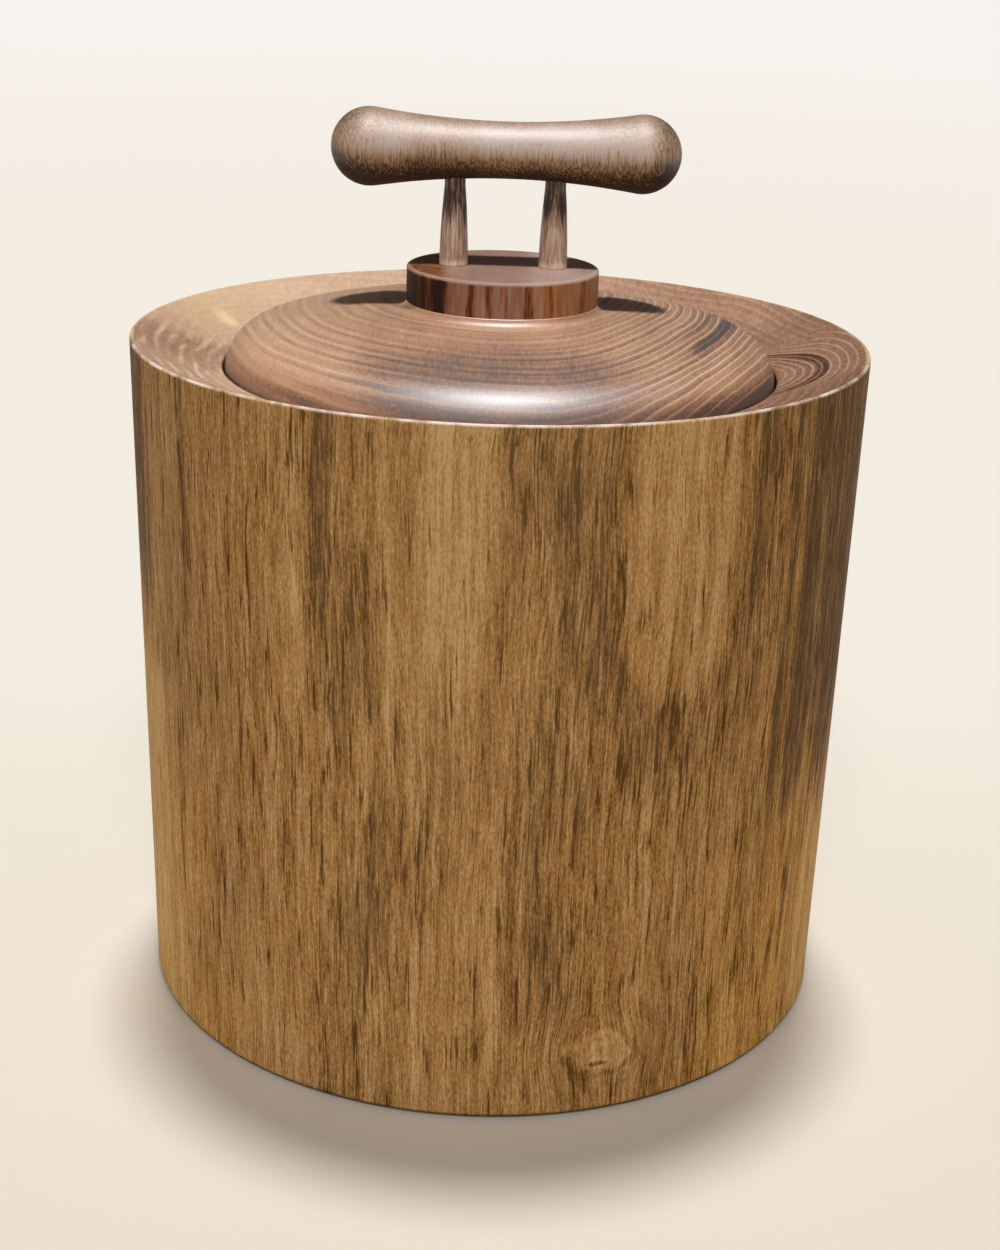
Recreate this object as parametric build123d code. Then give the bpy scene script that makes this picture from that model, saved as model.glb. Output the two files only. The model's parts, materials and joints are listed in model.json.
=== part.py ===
from build123d import *
import math
import os

# Lidded wooden pot: a turned wooden body with a dished rim, a liner that lifts out,
# and a domed lid that drops into the mouth and is lifted by a crossbar on two posts.
# Millimetres, +Z up. The origin is the centre of the face that the pot stands on.
# The crossbar runs along X.

# Clearances
glue_gap = 0.1
tenon_gap = 0.05
screw_gap = 0.05
mouth_gap = 0.7
flange_gap = 0.5
skirt_gap = 0.8
plate_gap = 0.3

# Pot body
rim_radius = 100.0
foot_radius = 97.5
rim_height = 186.5
rim_edge_round = 1.0
foot_edge_round = 1.2
rim_drop = 9.0
rim_hollow = 1.3
mouth_edge_round = 0.8
ledge_width = 4.7
ledge_edge_chamfer = 0.8
ledge_depth = 10.1

# Base disc and the felt pad under it
pad_thickness = 2.0
pad_stands_out = 0.8
pad_margin = 1.0
disc_thickness = 12.0
disc_seat_width = 11.0
disc_edge_chamfer = 0.5

# Liner that lifts out
liner_wall = 2.0
liner_floor = 2.2
liner_side_gap = 1.5
liner_floor_gap = 1.5
liner_draft = 1.3
liner_corner_round = 10.0
flange_thickness = 2.5
flange_edge_round = 0.6

# Lid
lid_radius = 75.0
lid_widest_above_seat = 6.0
lid_shoulder_round = 12.5
lid_crown_radius = 288.0
lid_lower_round = 3.0
recess_edge_chamfer = 0.4

# Inner plate under the lid
plate_thickness = 2.5
plate_lip = 1.2
skirt_depth = 9.0
skirt_wall = 2.0
skirt_edge_round = 0.6
rib_count = 6
rib_depth = 2.0
rib_thickness = 1.6
rib_inner_radius = 14.0

# Boss on the lid
boss_radius = 26.0
boss_height = 10.2
boss_edge_round = 0.7
boss_spigot_radius = 18.0
boss_spigot_depth = 7.0
boss_socket_spare = 0.3

# Posts
post_spacing = 26.8
post_foot_radius = 3.9
post_middle_radius = 3.55
post_neck_radius = 2.8
post_tenon_radius = 3.0
post_tenon_depth = 11.0
post_tenon_spare = 0.2
post_neck_below_axis = 9.5
post_into_bar = 2.7

# Crossbar
bar_length = 93.0
bar_end_radius = 10.3
bar_waist_radius = 7.4
bar_axis_above_boss = 30.6

# Screw through the lid into the boss
boss_screw_radius = 2.2
boss_screw_length = 27.0
boss_screw_head_radius = 4.4
boss_screw_head_height = 2.6
boss_screw_slot_width = 1.2
boss_screw_slot_depth = 1.1

# Screws that hold the inner plate
plate_screw_count = 3
plate_screw_circle = 50.0
plate_screw_radius = 1.5
plate_screw_length = 10.0
plate_screw_head_radius = 2.9
plate_screw_head_height = 1.8
plate_screw_head_round = 0.8
plate_screw_slot_width = 0.8
plate_screw_slot_depth = 0.8

# Heights and radii that follow from the sizes above
foot_z = pad_stands_out
disc_bottom_z = pad_thickness
disc_top_z = disc_bottom_z + disc_thickness
mouth_radius = lid_radius + mouth_gap
cavity_radius = mouth_radius - ledge_width
disc_radius = cavity_radius + disc_seat_width
mouth_z = rim_height - rim_drop
ledge_z = mouth_z - ledge_depth
seat_z = ledge_z + flange_thickness
widest_z = seat_z + lid_widest_above_seat
flange_radius = mouth_radius - flange_gap
liner_top_radius = cavity_radius - liner_side_gap
liner_mouth_radius = liner_top_radius - liner_wall
skirt_radius = liner_mouth_radius - skirt_gap
plate_radius = skirt_radius + plate_lip
recess_radius = plate_radius + plate_gap
recess_z = seat_z + plate_thickness
crown_centre_rise = math.sqrt(
    (lid_crown_radius - lid_shoulder_round) ** 2 - (lid_radius - lid_shoulder_round) ** 2
)
crown_centre_z = widest_z - crown_centre_rise
boss_foot_z = crown_centre_z + math.sqrt(lid_crown_radius**2 - boss_radius**2)
boss_top_z = boss_foot_z + boss_height
bar_axis_z = boss_top_z + bar_axis_above_boss
post_x = post_spacing / 2


def on_circle(centre, radius, degrees):
    """The point of a circle in the profile plane at an angle from the +r direction."""
    angle = math.radians(degrees)
    return (centre[0] + radius * math.cos(angle), centre[1] + radius * math.sin(angle))


def turned(lines):
    """The solid that a closed profile of (radius, height) makes about the Z axis."""
    return revolve(Plane.XZ * make_face(lines), Axis.Z)


def bore(radius, bottom_z, top_z, x=0.0, y=0.0):
    """A round hole along Z, as the solid that is taken away."""
    return Pos(x, y, bottom_z) * extrude(Circle(radius), top_z - bottom_z)


def rounded(shape, radius, at_radius, at_z):
    """The turned shape with its circular edge at this radius and height rounded."""
    picked = [
        edge
        for edge in shape.edges().filter_by(GeomType.CIRCLE)
        if abs(edge.radius - at_radius) < 0.01 and abs(edge.arc_center.Z - at_z) < 0.01
    ]
    return fillet(picked, radius)


def bevelled(shape, length, at_radius, at_z):
    """The turned shape with its circular edge at this radius and height chamfered."""
    picked = [
        edge
        for edge in shape.edges().filter_by(GeomType.CIRCLE)
        if abs(edge.radius - at_radius) < 0.01 and abs(edge.arc_center.Z - at_z) < 0.01
    ]
    return chamfer(picked, length)


def make_pot_body():
    """Turned wooden wall: slightly tapered outside, dished rim, mouth, ledge and bore."""
    rim_middle_r = (rim_radius + mouth_radius) / 2
    rim_middle_z = (rim_height + mouth_z) / 2 - rim_hollow
    rebate_radius = disc_radius + glue_gap
    profile = [
        Line((rebate_radius, foot_z), (foot_radius, foot_z)),
        Line((foot_radius, foot_z), (rim_radius, rim_height)),
        ThreePointArc((rim_radius, rim_height), (rim_middle_r, rim_middle_z), (mouth_radius, mouth_z)),
        Line((mouth_radius, mouth_z), (mouth_radius, ledge_z)),
        Line((mouth_radius, ledge_z), (cavity_radius, ledge_z)),
        Line((cavity_radius, ledge_z), (cavity_radius, disc_top_z)),
        Line((cavity_radius, disc_top_z), (rebate_radius, disc_top_z)),
        Line((rebate_radius, disc_top_z), (rebate_radius, foot_z)),
    ]
    body = turned(profile)
    body = rounded(body, rim_edge_round, rim_radius, rim_height)
    body = rounded(body, mouth_edge_round, mouth_radius, mouth_z)
    body = rounded(body, foot_edge_round, foot_radius, foot_z)
    return bevelled(body, ledge_edge_chamfer, cavity_radius, ledge_z)


def make_base_disc():
    """Wooden disc glued into the rebate from below; its top is the floor of the pot."""
    disc = bore(disc_radius, disc_bottom_z, disc_top_z)
    return bevelled(disc, disc_edge_chamfer, disc_radius, disc_bottom_z)


def make_base_pad():
    """Felt disc under the base, which keeps the wooden edge just off the table."""
    return bore(disc_radius - pad_margin, 0, pad_thickness)


def make_inner_liner():
    """Moulded cup with a flange that hangs on the ledge, drafted walls and a round corner."""
    floor_z = disc_top_z + liner_floor_gap
    inner_floor_z = floor_z + liner_floor
    draft = math.tan(math.radians(liner_draft))
    inner_foot_radius = liner_mouth_radius - draft * (seat_z - inner_floor_z)
    outer_foot_radius = liner_top_radius - draft * (ledge_z - floor_z)
    outer = turned(
        [
            Line((0, floor_z), (outer_foot_radius, floor_z)),
            Line((outer_foot_radius, floor_z), (liner_top_radius, ledge_z)),
            Line((liner_top_radius, ledge_z), (flange_radius, ledge_z)),
            Line((flange_radius, ledge_z), (flange_radius, seat_z)),
            Line((flange_radius, seat_z), (0, seat_z)),
            Line((0, seat_z), (0, floor_z)),
        ]
    )
    inner = turned(
        [
            Line((0, inner_floor_z), (inner_foot_radius, inner_floor_z)),
            Line((inner_foot_radius, inner_floor_z), (liner_mouth_radius, seat_z)),
            Line((liner_mouth_radius, seat_z), (0, seat_z)),
            Line((0, seat_z), (0, inner_floor_z)),
        ]
    )
    outer = rounded(outer, liner_corner_round + liner_wall, outer_foot_radius, floor_z)
    outer = rounded(outer, flange_edge_round, flange_radius, seat_z)
    inner = rounded(inner, liner_corner_round, inner_foot_radius, inner_floor_z)
    return outer - inner


def make_lid_dome():
    """Turned lid: crowned top, round shoulder, seat ring, and sockets for what it carries."""
    shoulder_centre = (lid_radius - lid_shoulder_round, widest_z)
    meets_at = math.degrees(math.atan2(crown_centre_rise, shoulder_centre[0]))
    shoulder_top = on_circle(shoulder_centre, lid_shoulder_round, meets_at)
    shoulder_middle = on_circle(shoulder_centre, lid_shoulder_round, meets_at / 2)
    crown_middle_r = (shoulder_top[0] + boss_radius) / 2
    crown_middle_z = crown_centre_z + math.sqrt(lid_crown_radius**2 - crown_middle_r**2)
    dome = turned(
        [
            Line((recess_radius, seat_z), (lid_radius, seat_z)),
            Line((lid_radius, seat_z), (lid_radius, widest_z)),
            ThreePointArc((lid_radius, widest_z), shoulder_middle, shoulder_top),
            ThreePointArc(shoulder_top, (crown_middle_r, crown_middle_z), (boss_radius, boss_foot_z)),
            Line((boss_radius, boss_foot_z), (0, boss_foot_z)),
            Line((0, boss_foot_z), (0, recess_z)),
            Line((0, recess_z), (recess_radius, recess_z)),
            Line((recess_radius, recess_z), (recess_radius, seat_z)),
        ]
    )
    dome = rounded(dome, lid_lower_round, lid_radius, seat_z)
    dome = bevelled(dome, recess_edge_chamfer, recess_radius, seat_z)
    socket_z = boss_foot_z - boss_spigot_depth - boss_socket_spare
    dome -= bore(boss_spigot_radius + glue_gap, socket_z, boss_foot_z)
    dome -= countersunk_hole(recess_z, socket_z)
    for x, y in plate_screw_places():
        dome -= bore(plate_screw_radius + screw_gap, recess_z, plate_screw_tip_z(), x, y)
    return dome


def countersunk_hole(bottom_z, top_z):
    """The hole for the boss screw, countersunk for its head at the bottom."""
    shank = bore(boss_screw_radius + screw_gap, bottom_z, top_z)
    cone = Cone(
        boss_screw_head_radius + screw_gap,
        boss_screw_radius + screw_gap,
        boss_screw_head_height,
        align=(Align.CENTER, Align.CENTER, Align.MIN),
    )
    return shank + Pos(0, 0, bottom_z) * cone


def plate_screw_places():
    """The places of the inner plate's screws, evenly spaced on their circle."""
    for index in range(plate_screw_count):
        angle = math.radians(90 + 360 * index / plate_screw_count)
        yield (plate_screw_circle * math.cos(angle), plate_screw_circle * math.sin(angle))


def plate_screw_tip_z():
    """The height of the tips of the inner plate's screws, measured from under the plate."""
    return seat_z + plate_screw_length


def make_lid_plate():
    """Moulded plate in the lid's recess: a skirt that drops into the liner, and ribs."""
    skirt_foot_z = seat_z - skirt_depth
    skirt_inner_radius = skirt_radius - skirt_wall
    plate = turned(
        [
            Line((0, seat_z), (skirt_inner_radius, seat_z)),
            Line((skirt_inner_radius, seat_z), (skirt_inner_radius, skirt_foot_z)),
            Line((skirt_inner_radius, skirt_foot_z), (skirt_radius, skirt_foot_z)),
            Line((skirt_radius, skirt_foot_z), (skirt_radius, seat_z)),
            Line((skirt_radius, seat_z), (plate_radius, seat_z)),
            Line((plate_radius, seat_z), (plate_radius, recess_z)),
            Line((plate_radius, recess_z), (0, recess_z)),
            Line((0, recess_z), (0, seat_z)),
        ]
    )
    plate = rounded(plate, skirt_edge_round, skirt_radius, skirt_foot_z)
    rib_length = skirt_inner_radius - rib_inner_radius + skirt_wall / 2
    for index in range(rib_count):
        rib = Box(
            rib_length,
            rib_thickness,
            rib_depth,
            align=(Align.MIN, Align.CENTER, Align.MAX),
        )
        plate += Rot(0, 0, 360 * index / rib_count) * Pos(rib_inner_radius, 0, seat_z) * rib
    for x, y in plate_screw_places():
        plate -= bore(plate_screw_radius + glue_gap, seat_z, recess_z, x, y)
    return plate


def make_plate_screws():
    """Pan-head screws that hold the inner plate, each a solid of its own."""
    screws = []
    for x, y in plate_screw_places():
        head = bore(plate_screw_head_radius, seat_z - plate_screw_head_height, seat_z, x, y)
        head = rounded(
            head,
            plate_screw_head_round,
            plate_screw_head_radius,
            seat_z - plate_screw_head_height,
        )
        slot = Pos(x, y, seat_z - plate_screw_head_height) * Box(
            2 * plate_screw_head_radius,
            plate_screw_slot_width,
            2 * plate_screw_slot_depth,
        )
        shank = bore(plate_screw_radius, seat_z, plate_screw_tip_z(), x, y)
        screws.append((head - slot + shank).solid())
    return Compound(children=screws)


def make_lid_boss():
    """Turned disc on the crown of the lid, with a spigot below and holes for the posts."""
    spigot_z = boss_foot_z - boss_spigot_depth
    boss = turned(
        [
            Line((0, spigot_z), (boss_spigot_radius, spigot_z)),
            Line((boss_spigot_radius, spigot_z), (boss_spigot_radius, boss_foot_z)),
            Line((boss_spigot_radius, boss_foot_z), (boss_radius, boss_foot_z)),
            Line((boss_radius, boss_foot_z), (boss_radius, boss_top_z)),
            Line((boss_radius, boss_top_z), (0, boss_top_z)),
            Line((0, boss_top_z), (0, spigot_z)),
        ]
    )
    boss = rounded(boss, boss_edge_round, boss_radius, boss_top_z)
    screw_tip_z = recess_z + boss_screw_length
    boss -= bore(boss_screw_radius + screw_gap, spigot_z, screw_tip_z)
    tenon_hole_z = boss_top_z - post_tenon_depth - post_tenon_spare
    for x in (-post_x, post_x):
        boss -= bore(post_tenon_radius + tenon_gap, tenon_hole_z, boss_top_z, x)
    return boss


def make_boss_screw():
    """Countersunk wood screw up through the lid into the boss, hidden by the plate."""
    head = Cone(
        boss_screw_head_radius,
        boss_screw_radius,
        boss_screw_head_height,
        align=(Align.CENTER, Align.CENTER, Align.MIN),
    )
    shank = bore(boss_screw_radius, 0, boss_screw_length)
    slot = Box(2 * boss_screw_head_radius, boss_screw_slot_width, 2 * boss_screw_slot_depth)
    return Pos(0, 0, recess_z) * (head + shank - slot)


def make_post(x):
    """Turned post: a tenon in the boss, a foot that swells, and a neck into the crossbar."""
    tenon_z = boss_top_z - post_tenon_depth
    neck_z = bar_axis_z - post_neck_below_axis
    middle_z = (boss_top_z + neck_z) / 2
    top_z = bar_axis_z + post_into_bar
    post = turned(
        [
            Line((0, tenon_z), (post_tenon_radius, tenon_z)),
            Line((post_tenon_radius, tenon_z), (post_tenon_radius, boss_top_z)),
            Line((post_tenon_radius, boss_top_z), (post_foot_radius, boss_top_z)),
            ThreePointArc(
                (post_foot_radius, boss_top_z),
                (post_middle_radius, middle_z),
                (post_neck_radius, neck_z),
            ),
            Line((post_neck_radius, neck_z), (post_neck_radius, top_z)),
            Line((post_neck_radius, top_z), (0, top_z)),
            Line((0, top_z), (0, tenon_z)),
        ]
    )
    return Pos(x, 0, 0) * post


def make_crossbar():
    """Turned bar with round ends and a slender waist, bored from below for the posts."""
    end_centre_x = bar_length / 2 - bar_end_radius
    waist_curve = (end_centre_x**2 + bar_waist_radius**2 - bar_end_radius**2) / (
        2 * (bar_end_radius - bar_waist_radius)
    )
    waist_centre_y = bar_waist_radius + waist_curve
    lean = math.degrees(math.atan2(waist_centre_y, end_centre_x))
    right_centre = (end_centre_x, 0)
    left_centre = (-end_centre_x, 0)
    right_meeting = on_circle(right_centre, bar_end_radius, 180 - lean)
    left_meeting = on_circle(left_centre, bar_end_radius, lean)
    profile = [
        Line((-bar_length / 2, 0), (bar_length / 2, 0)),
        ThreePointArc(
            (bar_length / 2, 0),
            on_circle(right_centre, bar_end_radius, 45),
            right_meeting,
        ),
        ThreePointArc(right_meeting, (0, bar_waist_radius), left_meeting),
        ThreePointArc(
            left_meeting,
            on_circle(left_centre, bar_end_radius, 135),
            (-bar_length / 2, 0),
        ),
    ]
    bar = Pos(0, 0, bar_axis_z) * revolve(make_face(profile), Axis.X)
    hole_top_z = bar_axis_z + post_into_bar + post_tenon_spare
    for x in (-post_x, post_x):
        bar -= bore(
            post_neck_radius + tenon_gap,
            bar_axis_z - 2 * bar_end_radius,
            hole_top_z,
            x,
        )
    return bar


pieces = {
    "pot_body": make_pot_body(),
    "base_disc": make_base_disc(),
    "base_pad": make_base_pad(),
    "inner_liner": make_inner_liner(),
    "lid_dome": make_lid_dome(),
    "lid_boss": make_lid_boss(),
    "boss_screw": make_boss_screw(),
    "left_post": make_post(-post_x),
    "right_post": make_post(post_x),
    "crossbar": make_crossbar(),
    "lid_plate": make_lid_plate(),
    "lid_plate_screws": make_plate_screws(),
}

os.makedirs("parts", exist_ok=True)
for name, shape in pieces.items():
    export_step(shape, f"parts/{name}.step")
    print(name, "volume", round(shape.volume), "mm3")
print("overall height", round(bar_axis_z + bar_end_radius, 1), "mm")
print("boss foot at", round(boss_foot_z, 2), "mm, lid seat at", round(seat_z, 2), "mm")
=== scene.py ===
"""Lidded turned wooden pot: the looks of every piece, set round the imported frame.

Sizes are in millimetres unless a name says otherwise. They become metres where a mesh is made.
Azimuths are degrees round the pot from its front, positive towards +X.
"""

from __future__ import annotations

import json
import logging
import math
from collections.abc import Sequence
from dataclasses import dataclass
from enum import Enum
from functools import cached_property

import bpy
from mathutils import Matrix, Vector

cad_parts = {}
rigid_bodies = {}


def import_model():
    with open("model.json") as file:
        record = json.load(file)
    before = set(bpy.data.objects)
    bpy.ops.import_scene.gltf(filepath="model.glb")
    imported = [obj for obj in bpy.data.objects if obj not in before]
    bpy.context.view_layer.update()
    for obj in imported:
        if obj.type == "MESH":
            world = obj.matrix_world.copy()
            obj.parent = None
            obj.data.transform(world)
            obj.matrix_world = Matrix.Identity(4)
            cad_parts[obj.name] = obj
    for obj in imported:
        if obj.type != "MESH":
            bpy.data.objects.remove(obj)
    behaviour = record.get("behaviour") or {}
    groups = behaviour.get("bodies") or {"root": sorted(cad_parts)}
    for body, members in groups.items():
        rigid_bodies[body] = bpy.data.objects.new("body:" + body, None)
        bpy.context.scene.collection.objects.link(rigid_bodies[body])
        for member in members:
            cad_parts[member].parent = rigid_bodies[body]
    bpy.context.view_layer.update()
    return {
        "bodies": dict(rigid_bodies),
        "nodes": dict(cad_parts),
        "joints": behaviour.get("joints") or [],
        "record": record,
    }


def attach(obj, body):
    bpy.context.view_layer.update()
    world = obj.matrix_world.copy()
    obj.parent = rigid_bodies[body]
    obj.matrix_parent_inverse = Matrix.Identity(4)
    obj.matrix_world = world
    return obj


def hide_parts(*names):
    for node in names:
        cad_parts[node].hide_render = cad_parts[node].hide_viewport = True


log = logging.getLogger("pot")

MM = 0.001
Point = tuple[float, float]
Colour = tuple[float, float, float]
Stops = Sequence[tuple[float, Colour]]
Socket = bpy.types.NodeSocket


class Body(Enum):
    """The bodies of the frame that pieces ride on."""

    POT = "pot"
    LINER = "liner"
    LID = "lid"


class Tilt(Enum):
    """How a turned piece lies: its turning axis along Z or along X."""

    UPRIGHT = 0.0
    LYING = 90.0


# Outlines


@dataclass(frozen=True)
class Corner:
    """A corner of a turned outline: its radius, its height and how far it is rounded."""

    r: float
    z: float
    rounding: float = 0.0


def arc(centre: Point, radius: float, first: float, last: float, steps: int) -> list[Corner]:
    """Samples an arc between two angles.

    Args:
        centre: Its centre.
        radius: Its radius.
        first: The angle that it starts at, in radians.
        last: The angle that it ends at.
        steps: How many stretches it is cut into.

    Returns:
        Its points as sharp corners, with both ends.
    """
    angles = [first + (last - first) * i / steps for i in range(steps + 1)]
    return [Corner(centre[0] + radius * math.cos(t), centre[1] + radius * math.sin(t)) for t in angles]


def rounded_corner(before: Corner, here: Corner, after: Corner, step: float = 0.16) -> list[Point]:
    """Samples the arc that rounds one corner.

    Args:
        before: The corner ahead of it.
        here: The corner that is rounded.
        after: The corner behind it.
        step: The longest stretch between samples.

    Returns:
        The points of the arc, or the corner itself where it is sharp.
    """
    if here.rounding <= 0:
        return [(here.r, here.z)]
    tip = Vector((here.r, here.z))
    back = (Vector((before.r, before.z)) - tip).normalized()
    ahead = (Vector((after.r, after.z)) - tip).normalized()
    half = back.angle(ahead) / 2
    start = tip + back * (here.rounding / math.tan(half))
    end = tip + ahead * (here.rounding / math.tan(half))
    centre = tip + (back + ahead).normalized() * (here.rounding / math.sin(half))
    first = math.atan2(start.y - centre.y, start.x - centre.x)
    sweep = math.atan2(end.y - centre.y, end.x - centre.x) - first
    sweep = (sweep + math.pi) % (2 * math.pi) - math.pi
    steps = max(4, math.ceil(abs(sweep) * here.rounding / step))
    return [(c.r, c.z) for c in arc(tuple(centre), here.rounding, first, first + sweep, steps)]


def outline(corners: Sequence[Corner], closed: bool, spacing: float = 2.5) -> list[Point]:
    """Makes a turned outline with rounded corners and evenly filled straight stretches.

    Args:
        corners: From the bottom centre outwards, up the outside and back in over the top.
        closed: True for a ring, whose last corner joins the first.
        spacing: The longest stretch between two points.

    Returns:
        The points of the outline; a ring repeats its first point at the end.
    """
    count = len(corners)
    points: list[Point] = []
    for i, here in enumerate(corners):
        if not closed and i in (0, count - 1):
            points.append((here.r, here.z))
            continue
        points += rounded_corner(corners[i - 1], here, corners[(i + 1) % count])
    if closed:
        points.append(points[0])
    hold = 0.3
    filled = [points[0]]
    for a, b in zip(points, points[1:]):
        length = math.dist(a, b)
        shares: list[float] = []
        if length > 4 * hold:
            steps = math.ceil((length - 2 * hold) / spacing)
            shares = [(hold + (length - 2 * hold) * i / steps) / length for i in range(steps + 1)]
        filled += [(a[0] + (b[0] - a[0]) * t, a[1] + (b[1] - a[1]) * t) for t in shares]
        filled.append(b)
    return filled


def arc_corners(start: Point, middle: Point, end: Point, steps: int) -> list[Corner]:
    """Samples the arc through three points, without its ends.

    Args:
        start: One end of the arc.
        middle: A point on it.
        end: The other end.
        steps: How many stretches it is cut into.

    Returns:
        The inner points as sharp corners.
    """
    (ax, ay), (bx, by), (cx, cy) = start, middle, end
    a, b, c = (x**2 + y**2 for x, y in (start, middle, end))
    d = 2 * (ax * (by - cy) + bx * (cy - ay) + cx * (ay - by))
    ux = (a * (by - cy) + b * (cy - ay) + c * (ay - by)) / d
    uy = (a * (cx - bx) + b * (ax - cx) + c * (bx - ax)) / d
    first = math.atan2(ay - uy, ax - ux)
    sweep = (math.atan2(cy - uy, cx - ux) - first + math.pi) % (2 * math.pi) - math.pi
    return arc((ux, uy), math.hypot(ax - ux, ay - uy), first, first + sweep, steps)[1:-1]


# Node graphs


class Field:
    """A value in a node tree, which can be reckoned with like a number."""

    def __init__(self, graph: Graph, socket: Socket) -> None:
        """Keeps the socket that gives the value, and its graph."""
        self.graph = graph
        self.socket = socket

    def __add__(self, other: Value) -> Field:
        """The sum of two values."""
        return self.graph.math("ADD", self, other)

    __radd__ = __add__

    def __sub__(self, other: Value) -> Field:
        """The difference of two values."""
        return self.graph.math("SUBTRACT", self, other)

    def __mul__(self, other: Value) -> Field:
        """The product of two values."""
        return Product(self, other)

    def __truediv__(self, other: Value) -> Field:
        """One value divided by another."""
        return self.graph.math("DIVIDE", self, other)

    def __pow__(self, power: float) -> Field:
        """The value raised to a power."""
        return self.graph.math("POWER", self, power)

    def __abs__(self) -> Field:
        """The value without its sign."""
        return self.graph.math("ABSOLUTE", self)

    def rise(self, low: float, high: float, bottom: float = 0.0, top: float = 1.0) -> Field:
        """A smooth rise from bottom to top while the value goes from low to high."""
        return self.graph.rise(self, low, high, bottom, top)


class Product(Field):
    """A product, which takes a node of its own only where nothing is added to it."""

    def __init__(self, a: Field, b: Value) -> None:
        """Keeps the two factors."""
        self.graph = a.graph
        self.factors = (a, b)

    def __add__(self, other: Value) -> Field:
        """The product and the sum in one node."""
        return self.graph.math("MULTIPLY_ADD", *self.factors, other)

    __radd__ = __add__

    @cached_property
    def socket(self) -> Socket:
        """The socket that gives the product."""
        return self.graph.math("MULTIPLY", *self.factors).socket


Value = Field | Socket | float | Sequence[float]


class Graph:
    """A short way to write the nodes of a material or of a geometry tree."""

    def __init__(self, tree: bpy.types.NodeTree) -> None:
        """Keeps the tree that the nodes go into."""
        self.tree = tree

    def add(self, kind: str, **settings: object) -> bpy.types.Node:
        """Adds a node of a kind and sets its properties.

        Args:
            kind: The node's type name.
            settings: Properties of the node, by name.

        Returns:
            The node.
        """
        node = self.tree.nodes.new(kind)
        for name, value in settings.items():
            setattr(node, name, value)
        return node

    def feed(self, socket: Socket, value: Value) -> None:
        """Links a value into a socket, or sets the socket to a plain number or colour.

        Args:
            socket: The socket.
            value: What goes into it.
        """
        if isinstance(value, Field):
            value = value.socket
        if isinstance(value, bpy.types.NodeSocket):
            self.tree.links.new(value, socket)
        else:
            socket.default_value = value

    def put(
        self, kind: str, inputs: dict[str | int, Value], output: str | int = 0, **settings: object
    ) -> Field:
        """Adds a node, feeds it and gives one of its outputs.

        Args:
            kind: The node's type name.
            inputs: What goes into its sockets, by name or by number.
            output: The output's name or number.
            settings: Properties of the node, by name.

        Returns:
            The output.
        """
        node = self.add(kind, **settings)
        for name, value in inputs.items():
            self.feed(node.inputs[name], value)
        return Field(self, node.outputs[output])

    def math(self, operation: str, *values: Value) -> Field:
        """The result of a Math node."""
        return self.put("ShaderNodeMath", dict(enumerate(values)), operation=operation)

    def vector(self, operation: str, *values: Value) -> Field:
        """The vector that a Vector Math node gives."""
        return self.put("ShaderNodeVectorMath", dict(enumerate(values)), operation=operation)

    def length(self, x: Value, y: Value) -> Field:
        """How far a place in the plane is from 0, 0."""
        place = self.combine(x, y, 0.0)
        return self.put("ShaderNodeVectorMath", {0: place}, "Value", operation="LENGTH")

    def combine(self, x: Value, y: Value, z: Value) -> Field:
        """The vector of three values."""
        return self.put("ShaderNodeCombineXYZ", {0: x, 1: y, 2: z})

    def separate(self, vector: Value) -> list[Field]:
        """The three values of a vector."""
        node = self.put("ShaderNodeSeparateXYZ", {0: vector}).socket.node
        return [Field(self, socket) for socket in node.outputs]

    def rise(
        self, value: Value, low: float, high: float, bottom: float = 0.0, top: Value = 1.0
    ) -> Field:
        """A smooth rise from bottom to top while value goes from low to high."""
        inputs = dict(enumerate((value, low, high, bottom, top)))
        return self.put("ShaderNodeMapRange", inputs, interpolation_type="SMOOTHSTEP")


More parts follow.
